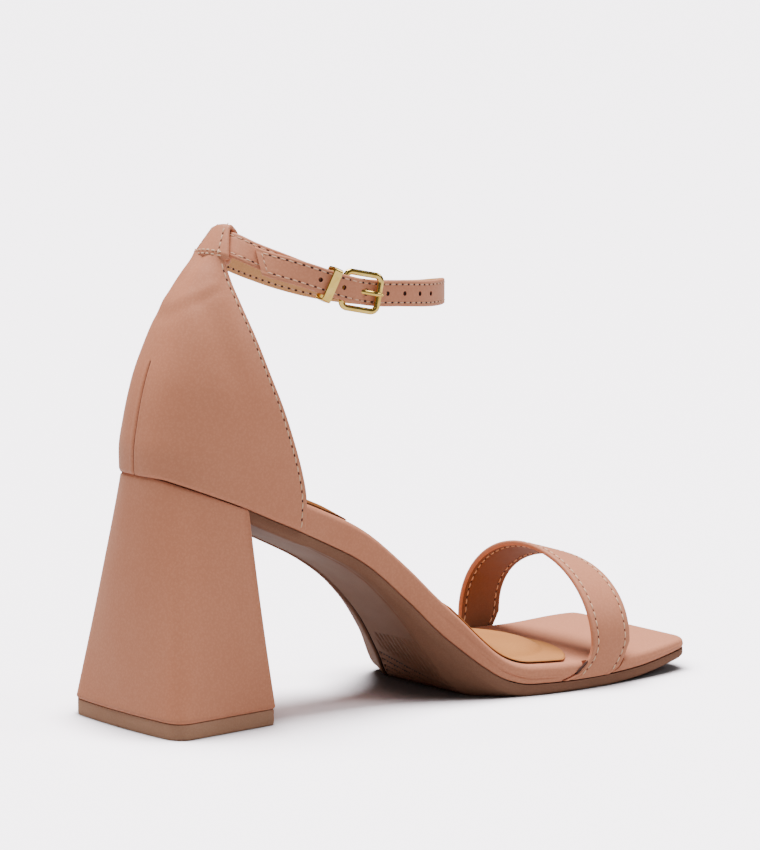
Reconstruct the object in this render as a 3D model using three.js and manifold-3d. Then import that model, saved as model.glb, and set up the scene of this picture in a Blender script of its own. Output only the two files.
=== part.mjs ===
// Block heel sandal, right shoe, in millimetres.
// +X points to the toe, +Y to the inner side of the foot, +Z up.
// The origin lies on the ground under the middle of the heel.

import * as THREE from 'three';
import { mergeVertices } from 'three/addons/utils/BufferGeometryUtils.js';
import Module from 'manifold-3d';

const wasm = await Module();
wasm.setup();

// Driving sizes
const clearance = 0.3;
const shoeLength = 223;
const seatBack = -15;
const seatHeight = 90;
const seatHalfWidth = 26.4;
const seatLength = 50.5;
const seatRoundness = 2.6;
const ballOutside = 42.3;
const ballInside = 39;
const outsoleThickness = 3.3;
const treadThickness = 4.2;
const toeSpring = 4.2;
const footbedThickness = 11.6;
const footbedEdge = 2.6;
const heelBreastTop = 13;
const heelFootLength = 47;
const heelFootRearHalf = 33.4;
const heelFootFrontHalf = 28.3;
const heelFootCorner = 6.5;
const heelFootBow = 1.2;
const heelOverlap = 0.6;
const liftThickness = 5.6;
const liftEdge = 0.35;
const counterWall = 1.8;
const counterHeight = 75.3;
const counterSideClimb = 1.3;
const tabHalfWidth = 6;
const tabWall = 1.5;
const tabGap = 0.7;
const tabInnerDepth = 1.9;
const heelSockThickness = 1.4;
const heelSockLength = 63;
const heelSockInset = 1.6;
const padThickness = 2.6;
const padRim = 0.9;
const padCentre = 126;
const padHalfLength = 33.5;
const padHalfWidth = 46;
const vampWall = 2;
const vampWidth = 19;
const vampMiddle = 164.5;
const vampRearRise = 48.7;
const vampFrontRise = 43;
const vampLegHeight = 11;
const vampSlit = 1.7;
const ankleHalfLength = 48;
const ankleHalfWidth = 26;
const tabForward = 2.85;
const ankleClimb = 78.5;
const ankleDrop = 25.6;
const ankleStrapWidth = 9.5;
const ankleStrapWall = 1.5;
const buckleLength = 15.8;
const buckleHeight = 15;
const buckleWire = 2.2;
const buckleDepth = 1.5;
const buckleCorner = 3.2;
const buckleInnerCorner = 1.1;
const prongWidth = 1.7;
const prongDepth = 1.7;
const keeperLength = 4.2;
const keeperWall = 0.7;
const keeperGap = 0.65;
const outsoleBevel = 2;
const outsoleInnerBevel = 4.5;
const outsoleDraft = 0.4;

// Places round the ankle and angles, in degrees; places run from the front towards
// the outer side. The strap starts just behind the buckle's back bar, its outer
// lap rises between the bars, and its tip hangs below the inner lap.
const ankleLean = 38;
const keeperTilt = 7;
const buckleFrontTurn = 87;
const buckleBackTurn = 103;
const keeperPlace = 110.3;
const keeperDrop = 0.35;
const strapStart = 3.6;
const lapStart = 5;
const lapEnd = 3;
const tipPlace = 147;
const tipSag = 2.2;

// Underside of the footbed along the shoe.
// along: share of shoeLength from the back of the seat; rise: share of seatHeight
// above the outsole's tread; spring: share of toeSpring.
const undersideRows = [
  { along: 0.0, rise: 0.99, spring: 0 },
  { along: 0.034, rise: 0.953, spring: 0 },
  { along: 0.075, rise: 0.909, spring: 0 },
  { along: 0.125, rise: 0.855, spring: 0 },
  { along: 0.175, rise: 0.796, spring: 0 },
  { along: 0.226, rise: 0.737, spring: 0 },
  { along: 0.283, rise: 0.668, spring: 0 },
  { along: 0.34, rise: 0.594, spring: 0 },
  { along: 0.38, rise: 0.524, spring: 0 },
  { along: 0.442, rise: 0.378, spring: 0 },
  { along: 0.491, rise: 0.247, spring: 0 },
  { along: 0.525, rise: 0.168, spring: 0 },
  { along: 0.559, rise: 0.094, spring: 0 },
  { along: 0.593, rise: 0.036, spring: 0 },
  { along: 0.628, rise: 0.006, spring: 0 },
  { along: 0.665, rise: 0, spring: 0 },
  { along: 0.8, rise: 0, spring: 0 },
  { along: 0.88, rise: 0, spring: 0.2 },
  { along: 0.95, rise: 0, spring: 0.65 },
  { along: 1.0, rise: 0, spring: 1 },
];

// Footbed outline in front of the seat, from the centre line.
// seat: share of seatHalfWidth on both sides; outside and inside: shares of
// ballOutside and ballInside.
const outlineRows = [
  { along: 0.0, seat: 1, outside: 0, inside: 0 },
  { along: 0.227, seat: 1, outside: 0, inside: 0 },
  { along: 0.27, seat: 0.86, outside: 0.075, inside: 0.015 },
  { along: 0.337, seat: 0.6, outside: 0.227, inside: 0.1 },
  { along: 0.404, seat: 0.35, outside: 0.395, inside: 0.22 },
  { along: 0.455, seat: 0.2, outside: 0.54, inside: 0.35 },
  { along: 0.505, seat: 0.06, outside: 0.7, inside: 0.58 },
  { along: 0.538, seat: 0, outside: 0.805, inside: 0.76 },
  { along: 0.57, seat: 0, outside: 0.865, inside: 0.86 },
  { along: 0.605, seat: 0, outside: 0.917, inside: 0.91 },
  { along: 0.655, seat: 0, outside: 0.976, inside: 0.95 },
  { along: 0.717, seat: 0, outside: 1, inside: 0.985 },
  { along: 0.785, seat: 0, outside: 0.985, inside: 1 },
  { along: 0.852, seat: 0, outside: 0.94, inside: 0.995 },
  { along: 0.919, seat: 0, outside: 0.875, inside: 0.98 },
  { along: 0.964, seat: 0, outside: 0.815, inside: 0.95 },
  { along: 0.984, seat: 0, outside: 0.775, inside: 0.91 },
  { along: 0.994, seat: 0, outside: 0.72, inside: 0.86 },
  { along: 1.0, seat: 0, outside: 0.6, inside: 0.72 },
];

// Upright thickness of the footbed, as a share of footbedThickness; the outsole's
// side walls, as shares of outsoleThickness; and how far its middle bellies out
// below the outer wall, as a share of seatHeight.
const depthRows = [
  { along: 0.0, footbed: 0.72, outerWall: 1, innerWall: 0.65, belly: 0 },
  { along: 0.1, footbed: 0.82, outerWall: 1, innerWall: 0.65, belly: 0 },
  { along: 0.18, footbed: 0.93, outerWall: 1, innerWall: 0.65, belly: 0.002 },
  { along: 0.25, footbed: 1.0, outerWall: 1, innerWall: 0.65, belly: 0.004 },
  { along: 0.34, footbed: 1.06, outerWall: 1.05, innerWall: 0.65, belly: 0.012 },
  { along: 0.44, footbed: 1.12, outerWall: 1.1, innerWall: 0.7, belly: 0.035 },
  { along: 0.5, footbed: 1.1, outerWall: 1.15, innerWall: 1.0, belly: 0.075 },
  { along: 0.529, footbed: 1.02, outerWall: 1.15, innerWall: 1.5, belly: 0.1 },
  { along: 0.56, footbed: 0.87, outerWall: 1.2, innerWall: 2.5, belly: 0.085 },
  { along: 0.58, footbed: 0.77, outerWall: 1.2, innerWall: 2.3, belly: 0.05 },
  { along: 0.605, footbed: 0.68, outerWall: 1.2, innerWall: 1.65, belly: 0.022 },
  { along: 0.635, footbed: 0.63, outerWall: 1.2, innerWall: 1.25, belly: 0.003 },
  { along: 0.665, footbed: 0.61, outerWall: 1.2, innerWall: 1.2, belly: 0 },
  { along: 0.75, footbed: 0.57, outerWall: 1.2, innerWall: 1.2, belly: 0 },
  { along: 0.88, footbed: 0.46, outerWall: 1.1, innerWall: 1.1, belly: 0 },
  { along: 1.0, footbed: 0.31, outerWall: 0.95, innerWall: 0.95, belly: 0 },
];

// Counter: up is the share of its height; front and back are x shares of
// seatLength from the back of the seat; half is a share of seatHalfWidth.
const counterRows = [
  { up: 0.0, front: 1.01, back: 0.0, half: 1.0, round: 2.6 },
  { up: 0.127, front: 1.02, back: 0.0, half: 1.0, round: 2.6 },
  { up: 0.225, front: 0.985, back: 0.023, half: 0.99, round: 2.5 },
  { up: 0.342, front: 0.925, back: 0.059, half: 0.957, round: 2.4 },
  { up: 0.459, front: 0.855, back: 0.109, half: 0.913, round: 2.3 },
  { up: 0.566, front: 0.785, back: 0.172, half: 0.839, round: 2.2 },
  { up: 0.703, front: 0.71, back: 0.265, half: 0.698, round: 2.1 },
  { up: 0.82, front: 0.65, back: 0.36, half: 0.523, round: 2.0 },
  { up: 0.908, front: 0.62, back: 0.469, half: 0.356, round: 2.0 },
  { up: 0.976, front: 0.61, back: 0.57, half: 0.25, round: 2.0 },
  { up: 1.0, front: 0.607, back: 0.603, half: 0.24, round: 2.0 },
];

// Middle line of the ankle strap. turn: degrees from the front towards the outer
// side; down: share of ankleDrop below its highest point. The first and last rows
// lie past the back on either side.
const ankleRows = [
  { turn: -190, down: 0.000 },
  { turn: -180, down: 0.004 },
  { turn: -170, down: 0.043 },
  { turn: -160, down: 0.105 },
  { turn: -147, down: 0.168 },
  { turn: -130, down: 0.303 },
  { turn: -110, down: 0.514 },
  { turn: -95, down: 0.680 },
  { turn: -74, down: 0.871 },
  { turn: -50, down: 0.988 },
  { turn: -22, down: 1.000 },
  { turn: 0, down: 0.949 },
  { turn: 22, down: 0.896 },
  { turn: 50, down: 0.855 },
  { turn: 74, down: 0.785 },
  { turn: 87, down: 0.748 },
  { turn: 95, down: 0.705 },
  { turn: 103, down: 0.639 },
  { turn: 110, down: 0.568 },
  { turn: 120, down: 0.453 },
  { turn: 130, down: 0.332 },
  { turn: 147, down: 0.158 },
  { turn: 160, down: 0.039 },
  { turn: 170, down: 0.000 },
  { turn: 180, down: 0.004 },
  { turn: 190, down: 0.043 },
];

// Foot of the vamp strap: height is a share of the leg's height, back is how far
// its rear and front edges trail, as shares of vampWidth.
const vampLegRows = [
  { height: 0.0, rearBack: 0.72, frontBack: 0.56 },
  { height: 0.16, rearBack: 0.42, frontBack: 0.34 },
  { height: 0.4, rearBack: 0.22, frontBack: 0.2 },
  { height: 0.7, rearBack: 0.07, frontBack: 0.09 },
  { height: 1.0, rearBack: 0, frontBack: 0 },
];

const degrees = THREE.MathUtils.degToRad;

// Tables are read with a smooth curve through their rows.
function reader(rows, key, column) {
  const places = rows.map((row) => row[key]);
  const values = rows.map((row) => row[column]);
  const curve = new THREE.CubicInterpolant(places, values, 1);
  const last = places.length - 1;
  return (place) => curve.evaluate(THREE.MathUtils.clamp(place, places[0], places[last]))[0];
}

const riseAt = reader(undersideRows, 'along', 'rise');
const springAt = reader(undersideRows, 'along', 'spring');
const seatShareAt = reader(outlineRows, 'along', 'seat');
const outsideAt = reader(outlineRows, 'along', 'outside');
const insideAt = reader(outlineRows, 'along', 'inside');
const footbedAt = reader(depthRows, 'along', 'footbed');
const outerWallAt = reader(depthRows, 'along', 'outerWall');
const innerWallAt = reader(depthRows, 'along', 'innerWall');
const bellyAt = reader(depthRows, 'along', 'belly');
const counterFrontAt = reader(counterRows, 'up', 'front');
const counterBackAt = reader(counterRows, 'up', 'back');
const counterHalfAt = reader(counterRows, 'up', 'half');
const counterRoundAt = reader(counterRows, 'up', 'round');
const vampRearBackAt = reader(vampLegRows, 'height', 'rearBack');
const vampFrontBackAt = reader(vampLegRows, 'height', 'frontBack');
const ankleDownAt = reader(ankleRows, 'turn', 'down');

const along = (x) => (x - seatBack) / shoeLength;
const underside = (x) => {
  const share = along(x);
  return treadThickness + riseAt(share) * (seatHeight - treadThickness) + springAt(share) * toeSpring;
};
// The upright gap that leaves the clearance square to the sloping footbed.
const seatGap = (x) => clearance * Math.hypot(1, underside(x + 0.5) - underside(x - 0.5));
const footbedTop = (x) => underside(x) + footbedAt(along(x)) * footbedThickness;

// A superellipse: returns the pair of shares for an angle from 0 (back) to a
// quarter turn (side).
function roundShares(angle, roundness) {
  const power = 2 / roundness;
  return {
    lengthways: Math.max(Math.cos(angle), 0) ** power,
    sideways: Math.max(Math.sin(angle), 0) ** power,
  };
}

// Rungs of the footbed's outline: x and the distance from the centre line to
// each side, from the back of the seat to the tip of the toe.
const seatEnd = seatBack + seatLength;
function outlineRungs() {
  const rungs = [];
  const seatSteps = 11;
  for (let step = 0; step < seatSteps; step += 1) {
    const angle = 0.05 + (step / seatSteps) * (Math.PI / 2 - 0.05);
    const shares = roundShares(angle, seatRoundness);
    const half = seatHalfWidth * shares.sideways;
    rungs.push({ x: seatEnd - seatLength * shares.lengthways, outside: half, inside: half });
  }
  const frontSteps = 42;
  for (let step = 0; step <= frontSteps; step += 1) {
    const share = step / frontSteps;
    const eased = share < 0.8 ? share : 1 - (1 - share) ** 1.35 * 0.2 ** -0.35;
    const x = seatEnd + eased * (seatBack + shoeLength - seatEnd);
    const place = along(x);
    const seat = seatShareAt(place) * seatHalfWidth;
    rungs.push({
      x,
      outside: seat + outsideAt(place) * ballOutside,
      inside: seat + insideAt(place) * ballInside,
    });
  }
  return rungs;
}
const rungs = outlineRungs();

// Joins rings of points, each with as many points, into one closed body. Each
// end ring is zipped shut: its first half runs along its last half.
function loft(rings) {
  const count = rings[0].length;
  const position = rings.flat().flatMap((point) => [point.x, point.y, point.z]);
  const index = [];
  const quad = (a, b, c, d) => {
    index.push(a, b, c);
    if (d !== c) {
      index.push(a, c, d);
    }
  };
  for (let ring = 0; ring + 1 < rings.length; ring += 1) {
    for (let place = 0; place < count; place += 1) {
      const a = ring * count + place;
      const b = ring * count + ((place + 1) % count);
      quad(b, a, a + count, b + count);
    }
  }
  const last = (rings.length - 1) * count;
  for (let place = 0; place < Math.floor((count - 1) / 2); place += 1) {
    const across = count - 2 - place;
    if (across === place + 1) {
      index.push(place, across, across + 1);
      index.push(last + across, last + place, last + across + 1);
    } else {
      quad(place, place + 1, across, across + 1);
      quad(last + place + 1, last + place, last + across + 1, last + across);
    }
  }
  const geometry = new THREE.BufferGeometry();
  geometry.setAttribute('position', new THREE.Float32BufferAttribute(position, 3));
  geometry.setIndex(index);
  return faceOut(geometry);
}

// Turns all faces over where the body's volume comes out negative.
function faceOut(geometry) {
  const position = geometry.getAttribute('position');
  const index = geometry.getIndex().array;
  const corners = [new THREE.Vector3(), new THREE.Vector3(), new THREE.Vector3()];
  let volume = 0;
  for (let face = 0; face < index.length; face += 3) {
    corners.forEach((corner, place) => corner.fromBufferAttribute(position, index[face + place]));
    volume += corners[0].dot(corners[1].clone().cross(corners[2]));
  }
  if (volume < 0) {
    for (let face = 0; face < index.length; face += 3) {
      const kept = index[face];
      index[face] = index[face + 2];
      index[face + 2] = kept;
    }
  }
  return geometry;
}

// Solid and back again, for cuts and joins.
function solidOf(geometry) {
  const bare = geometry.clone();
  bare.deleteAttribute('normal');
  bare.deleteAttribute('uv');
  const merged = mergeVertices(bare, 1e-5);
  return new wasm.Manifold(new wasm.Mesh({
    numProp: 3,
    vertProperties: new Float32Array(merged.getAttribute('position').array),
    triVerts: new Uint32Array(merged.getIndex().array),
  }));
}

function geometryOf(solid) {
  const mesh = solid.getMesh();
  const geometry = new THREE.BufferGeometry();
  geometry.setAttribute('position', new THREE.Float32BufferAttribute(mesh.vertProperties, 3));
  geometry.setIndex(Array.from(mesh.triVerts));
  return geometry;
}

// The footbed: flat below, a wrapped rounded edge, slit beside the vamp strap.
const vampRear = vampMiddle - vampWidth / 2;
const vampFront = vampMiddle + vampWidth / 2;
const slitRear = vampRear - vampWidth * vampLegRows[0].rearBack - 2 * clearance;
const slitFront = vampFront + 2 * clearance;
const halfAt = (x, side) => {
  const place = along(x);
  const reach = side === 'outside' ? outsideAt(place) * ballOutside : insideAt(place) * ballInside;
  return seatShareAt(place) * seatHalfWidth + reach;
};

function footbedRing(rung) {
  const { x } = rung;
  const low = underside(x);
  const high = footbedTop(x);
  const edge = Math.min(footbedEdge, (high - low) * 0.45, rung.outside * 0.5);
  const ring = [];
  for (const [side, half] of [[-1, rung.outside], [1, rung.inside]]) {
    const points = [
      [half - edge * 0.25, low],
      [half, low + edge * 0.4],
      [half, high - edge],
      [half - edge * 0.3, high - edge * 0.3],
      [half - edge, high],
    ];
    const placed = points.map(([reach, z]) => new THREE.Vector3(x, side * reach, z));
    ring.push(...(side < 0 ? placed : placed.reverse()));
  }
  return ring;
}

function slitCutter(side) {
  const name = side < 0 ? 'outside' : 'inside';
  const rings = [];
  const steps = 12;
  for (let step = 0; step <= steps; step += 1) {
    const x = slitRear + (step / steps) * (slitFront - slitRear);
    const inner = side * (halfAt(x, name) - vampSlit - 2 * clearance);
    const outer = side * (halfAt(x, name) + 3 * vampWall);
    const low = underside(x) - 2 * vampWall;
    const high = footbedTop(x) + 2 * vampWall;
    rings.push([
      new THREE.Vector3(x, inner, low),
      new THREE.Vector3(x, outer, low),
      new THREE.Vector3(x, outer, high),
      new THREE.Vector3(x, inner, high),
    ]);
  }
  return solidOf(loft(rings));
}

function footbed() {
  const whole = solidOf(loft(rungs.map(footbedRing)));
  return geometryOf(whole.subtract(slitCutter(-1)).subtract(slitCutter(1)));
}

// The outsole: side walls, a bevel, and a belly that comes down to the tread.
const outsoleStart = heelBreastTop + 4 * clearance;
function outsoleRing(rung) {
  const { x } = rung;
  const place = along(x);
  const top = underside(x) - seatGap(x);
  const ledge = top - outerWallAt(place) * outsoleThickness;
  const innerLedge = Math.max(top - innerWallAt(place) * outsoleThickness, 0);
  const floor = Math.max(Math.min(ledge - bellyAt(place) * seatHeight, innerLedge), 0);
  const deep = Math.max(ledge, 0) - floor;
  const innerDeep = innerLedge - floor;
  const bevelOut = outsoleBevel + deep * 0.9;
  const bevelIn = outsoleInnerBevel + innerDeep * 0.35;
  return [
    new THREE.Vector3(x, -rung.outside, top),
    new THREE.Vector3(x, -rung.outside + outsoleDraft, Math.max(ledge, 0)),
    new THREE.Vector3(x, -rung.outside + bevelOut * 0.55, floor + deep * 0.4),
    new THREE.Vector3(x, -rung.outside + bevelOut, floor),
    new THREE.Vector3(x, rung.inside - bevelIn - outsoleInnerBevel / 3, floor),
    new THREE.Vector3(x, rung.inside - bevelIn, floor + innerDeep * 0.65),
    new THREE.Vector3(x, rung.inside - outsoleDraft, innerLedge),
    new THREE.Vector3(x, rung.inside, top),
  ];
}

function outsole() {
  const first = { x: outsoleStart, outside: seatHalfWidth, inside: seatHalfWidth };
  const kept = rungs.filter((rung) => rung.x > outsoleStart + 1);
  return loft([first, ...kept].map(outsoleRing));
}

// The heel block: the seat's round back above, a flared foot below.
const counterOut = 1.3 * clearance + counterWall;
const heelTopHalf = seatHalfWidth + counterOut - heelOverlap;
const heelTopLength = seatLength + counterOut - heelOverlap;
const heelSteps = 13;
function heelTopPoint(share) {
  const angle = share * Math.asin(1);
  const shares = roundShares(angle, seatRoundness);
  return { x: seatEnd - heelTopLength * shares.lengthways, half: heelTopHalf * shares.sideways };
}

function heelTopOutline() {
  const points = [];
  for (let step = 0; step <= heelSteps * 4; step += 1) {
    points.push(heelTopPoint(step / (heelSteps * 4)));
  }
  const kept = points.filter((point) => point.x < heelBreastTop - 1);
  kept.push({ x: heelBreastTop, half: heelTopHalf });
  return evenly(kept);
}

// Spreads a half outline's points evenly along its length.
function evenly(points) {
  const path = new THREE.CurvePath();
  for (let step = 0; step + 1 < points.length; step += 1) {
    path.add(new THREE.LineCurve(
      new THREE.Vector2(points[step].x, points[step].half),
      new THREE.Vector2(points[step + 1].x, points[step + 1].half),
    ));
  }
  const spaced = [];
  for (let step = 0; step <= heelSteps * 2; step += 1) {
    const point = path.getPointAt(step / (heelSteps * 2));
    spaced.push({ x: point.x, half: point.y });
  }
  return spaced;
}

function heelFootOutline() {
  const rear = -heelFootLength / 2;
  const front = heelFootLength / 2;
  const corner = heelFootCorner;
  const sideSlope = Math.atan2(heelFootRearHalf - heelFootFrontHalf, heelFootLength);
  const points = [{ x: rear - 0.001, half: 0 }];
  points.push({ x: rear + heelFootBow * 0.3, half: (heelFootRearHalf - corner) * 0.6 });
  const turnSteps = 6;
  for (let step = 0; step <= turnSteps; step += 1) {
    const angle = (step / turnSteps) * (Math.PI / 2 - sideSlope);
    points.push({
      x: rear + heelFootBow + corner * (1 - Math.cos(angle)),
      half: heelFootRearHalf - corner + corner * Math.sin(angle),
    });
  }
  points.push({ x: front, half: heelFootFrontHalf });
  return evenly(points);
}

const heelTop = heelTopOutline();
const heelFoot = heelFootOutline();

function ringFromHalf(outline, height) {
  const side = (sign) => outline.map((point) => (
    new THREE.Vector3(point.x, sign * point.half, height(point.x))));
  const near = side(-1);
  const far = side(1).slice(1).reverse();
  return [...near.reverse(), ...far.reverse()];
}

function heelBlock() {
  const rings = [];
  const steps = 8;
  for (let step = 0; step <= steps; step += 1) {
    const share = step / steps;
    const outline = heelFoot.map((foot, place) => ({
      x: THREE.MathUtils.lerp(foot.x, heelTop[place].x, share),
      half: THREE.MathUtils.lerp(foot.half, heelTop[place].half, share),
    }));
    const low = liftThickness + clearance;
    rings.push(ringFromHalf(outline, (x) => {
      const topX = THREE.MathUtils.clamp(x, seatBack - counterOut, heelBreastTop);
      return THREE.MathUtils.lerp(low, underside(topX) - seatGap(topX), share);
    }));
  }
  return loft(rings);
}

function heelLift() {
  const shrink = heelFoot.map((point) => ({
    x: point.x * (1 - liftEdge / heelFootLength),
    half: point.half * (1 - liftEdge / heelFootRearHalf),
  }));
  const rings = [
    ringFromHalf(shrink, () => 0),
    ringFromHalf(heelFoot, () => liftThickness * 0.25),
    ringFromHalf(heelFoot, () => liftThickness),
  ];
  return loft(rings);
}

// The counter: a hollow shell open to the front, its foot outside the footbed.
function counterPoint(up, angle, wall) {
  const shares = roundShares(Math.abs(angle), counterRoundAt(up));
  const front = seatBack + counterFrontAt(up) * seatLength;
  const back = seatBack + counterBackAt(up) * seatLength - counterOut + wall;
  const half = counterHalfAt(up) * seatHalfWidth + counterOut - wall;
  const x = front - (front - back) * shares.lengthways;
  const y = Math.sign(angle) * half * shares.sideways;
  const footShares = roundShares(Math.abs(angle), counterRoundAt(0));
  const footX = seatEnd - (seatLength + counterOut) * footShares.lengthways;
  const climb = counterHeight * THREE.MathUtils.lerp(counterSideClimb, 1, footShares.lengthways);
  return new THREE.Vector3(x, y, underside(Math.max(footX, seatBack)) + up * climb);
}

function counterShell() {
  const levels = 17;
  const turns = 14;
  const rings = [];
  for (let level = 0; level <= levels; level += 1) {
    const up = level / levels;
    const outer = [];
    const inner = [];
    for (let turn = -turns; turn <= turns; turn += 1) {
      const angle = (turn / turns) * (Math.PI / 2);
      outer.push(counterPoint(up, angle, 0));
      inner.push(counterPoint(up, angle, counterWall));
    }
    rings.push([...outer, ...inner.reverse()]);
  }
  return solidOf(loft(rings));
}

// The ankle strap's middle line: an ellipse in plan that drops to the front. Its
// back lies tabForward in front of the counter's top.
const counterTop = counterRows[counterRows.length - 1];
const ankleMiddle = seatBack + counterTop.back * seatLength + tabForward + ankleHalfLength;
// turn is 0 at the front, a quarter turn at the outside, a half turn at the back.
function anklePoint(turn, outwards, upwards) {
  const cos = Math.cos(turn);
  const sin = Math.sin(turn);
  const normal = new THREE.Vector2(cos * ankleHalfWidth, -sin * ankleHalfLength).normalize();
  const lean = degrees(ankleLean) * Math.max(-cos, 0) ** 2;
  const reach = outwards * Math.cos(lean) - upwards * Math.sin(lean);
  const lift = upwards * Math.cos(lean) + outwards * Math.sin(lean);
  const down = ankleDrop * ankleDownAt(THREE.MathUtils.radToDeg(Math.atan2(sin, cos)));
  return new THREE.Vector3(
    ankleMiddle + ankleHalfLength * cos + normal.x * reach,
    -ankleHalfWidth * sin + normal.y * reach,
    seatHeight + ankleClimb - down + lift,
  );
}

const layer = ankleStrapWall + clearance;
const frontBarTurn = degrees(buckleFrontTurn);
const backBarTurn = degrees(buckleBackTurn);
const keeperTurn = degrees(keeperPlace);
const tipTurn = degrees(tipPlace);

// How far the strap's second lap lies outside the first, and how far it hangs.
const lapOut = (turn) => (
  layer * THREE.MathUtils.smoothstep(turn, frontBarTurn + degrees(lapStart), backBarTurn - degrees(lapEnd)));
const lapSag = (turn) => -tipSag * THREE.MathUtils.smoothstep(turn, keeperTurn + 0.05, tipTurn);

// Axes on the strap at a turn: along it to the front, upwards and outwards.
function strapAxes(turn) {
  const base = anklePoint(turn, 0, 0);
  const run = anklePoint(turn - 0.05, 0, 0).sub(anklePoint(turn + 0.05, 0, 0)).normalize();
  const out = new THREE.Vector3(run.y, -run.x, 0).normalize();
  const up = new THREE.Vector3().crossVectors(out, run).normalize();
  return (forwards, upwards, outwards) => base.clone()
    .addScaledVector(run, forwards)
    .addScaledVector(up, upwards)
    .addScaledVector(out, outwards);
}

// The strap is one length: from the buckle's back bar through the tunnel, round
// the inner side and the front, under the front bar and over itself to its tip.
function ankleStrap() {
  const rings = [];
  const steps = 92;
  const start = backBarTurn + degrees(strapStart);
  for (let step = 0; step <= steps; step += 1) {
    const turn = start + (step / steps) * (2 * Math.PI + tipTurn - start);
    const lap = turn - 2 * Math.PI;
    const outwards = lapOut(lap);
    const sag = lapSag(lap);
    const half = ankleStrapWidth / 2;
    rings.push([
      anklePoint(turn, outwards - ankleStrapWall / 2, sag - half),
      anklePoint(turn, outwards + ankleStrapWall / 2, sag - half),
      anklePoint(turn, outwards + ankleStrapWall / 2, sag + half),
      anklePoint(turn, outwards - ankleStrapWall / 2, sag + half),
    ]);
  }
  const hole = solidOf(prongBody(clearance));
  return geometryOf(solidOf(loft(rings)).subtract(hole));
}

// The tunnel tab: a ring round the strap at the back, deeper on the ankle's side,
// closed on the shell.
function tabRing(grow, y) {
  const turn = Math.PI + Math.asin(y / ankleHalfWidth);
  const side = ankleStrapWall / 2 + tabGap + grow;
  const high = ankleStrapWidth / 2 + tabGap + grow;
  const corner = Math.min(side, high) * 0.8;
  const points = [];
  for (const [across, up, start] of [[1, 1, 0], [-1, 1, 1], [-1, -1, 2], [1, -1, 3]]) {
    for (let step = 0; step <= 2; step += 1) {
      const angle = (start + step / 2) * (Math.PI / 2);
      points.push([
        across * (side - corner) + corner * Math.cos(angle),
        up * (high - corner) + corner * Math.sin(angle),
      ]);
    }
  }
  return points.map(([outwards, upwards]) => (
    anklePoint(turn, outwards * (outwards < 0 ? tabInnerDepth : 1), upwards)));
}

function tabSweep(grow, halfWidth) {
  const rings = [];
  const steps = 8;
  for (let step = 0; step <= steps; step += 1) {
    rings.push(tabRing(grow, halfWidth * (1 - (2 * step) / steps)));
  }
  return solidOf(loft(rings));
}

function counter() {
  const ring = tabSweep(tabWall, tabHalfWidth);
  const hole = tabSweep(0, tabHalfWidth + 2 * tabWall);
  return geometryOf(counterShell().add(ring).subtract(hole));
}

// The vamp strap: two legs beside the footbed and a round arch between.
const vampFoot = underside(vampMiddle);
const vampLegSteps = 5;
const vampArchSteps = 18;
function vampRung(place) {
  const isLeg = Math.abs(place) > 1;
  const side = Math.sign(place) || 1;
  const edges = [
    { x: vampRear, rise: vampRearRise, roundness: 2, trail: vampRearBackAt },
    { x: vampFront, rise: vampFrontRise, roundness: 2.2, trail: vampFrontBackAt },
  ];
  return edges.map((edge) => {
    const height = isLeg ? 2 - Math.abs(place) : 1;
    const x = edge.x - edge.trail(height) * vampWidth;
    const name = side < 0 ? 'outside' : 'inside';
    const reach = halfAt(x, name) - vampSlit + clearance + vampWall;
    const legTop = vampFoot + vampLegHeight;
    if (isLeg) {
      return { x, y: side * reach, z: vampFoot + height * vampLegHeight, outY: side, outZ: 0 };
    }
    const shares = roundShares((1 - Math.abs(place)) * (Math.PI / 2), edge.roundness);
    const y = side * reach * shares.lengthways;
    const z = legTop + (edge.rise - legTop) * shares.sideways;
    const outY = side * shares.lengthways ** (edge.roundness - 1) / reach;
    const outZ = shares.sideways ** (edge.roundness - 1) / (edge.rise - legTop);
    const size = Math.hypot(outY, outZ);
    return { x, y, z, outY: outY / size, outZ: outZ / size };
  });
}

function vampStrap() {
  const places = [];
  for (let step = 0; step < vampLegSteps; step += 1) {
    places.push(-2 + step / vampLegSteps);
  }
  for (let step = 0; step <= vampArchSteps; step += 1) {
    places.push(-1 + (2 * step) / vampArchSteps);
  }
  for (let step = vampLegSteps - 1; step >= 0; step -= 1) {
    places.push(2 - step / vampLegSteps);
  }
  const rings = places.map((place) => {
    const [rear, front] = vampRung(place);
    const outer = [rear, front].map((edge) => new THREE.Vector3(edge.x, edge.y, edge.z));
    const inner = [rear, front].map((edge) => new THREE.Vector3(
      edge.x,
      edge.y - edge.outY * vampWall,
      edge.z - edge.outZ * vampWall,
    ));
    return [outer[0], outer[1], inner[1], inner[0]];
  });
  return loft(rings);
}

// Sock and pad lie on the footbed.
function heelSock() {
  const end = seatBack + heelSockLength;
  const kept = rungs.filter((rung) => rung.x < end - 1 && rung.outside > 3 * heelSockInset);
  const halfEnd = halfAt(end, 'outside');
  const insideEnd = halfAt(end, 'inside');
  const all = [...kept, { x: end, outside: halfEnd, inside: insideEnd }];
  const rings = all.map((rung) => {
    const x = rung.x + (rung.x < 0 ? heelSockInset : 0);
    const low = footbedTop(x) + seatGap(x);
    const high = low + heelSockThickness;
    return [
      new THREE.Vector3(x, -rung.outside + footbedEdge, low),
      new THREE.Vector3(x, rung.inside - footbedEdge, low),
      new THREE.Vector3(x, rung.inside - footbedEdge - 0.4, high),
      new THREE.Vector3(x, -rung.outside + footbedEdge + 0.4, high),
    ];
  });
  return loft(rings);
}

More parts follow.
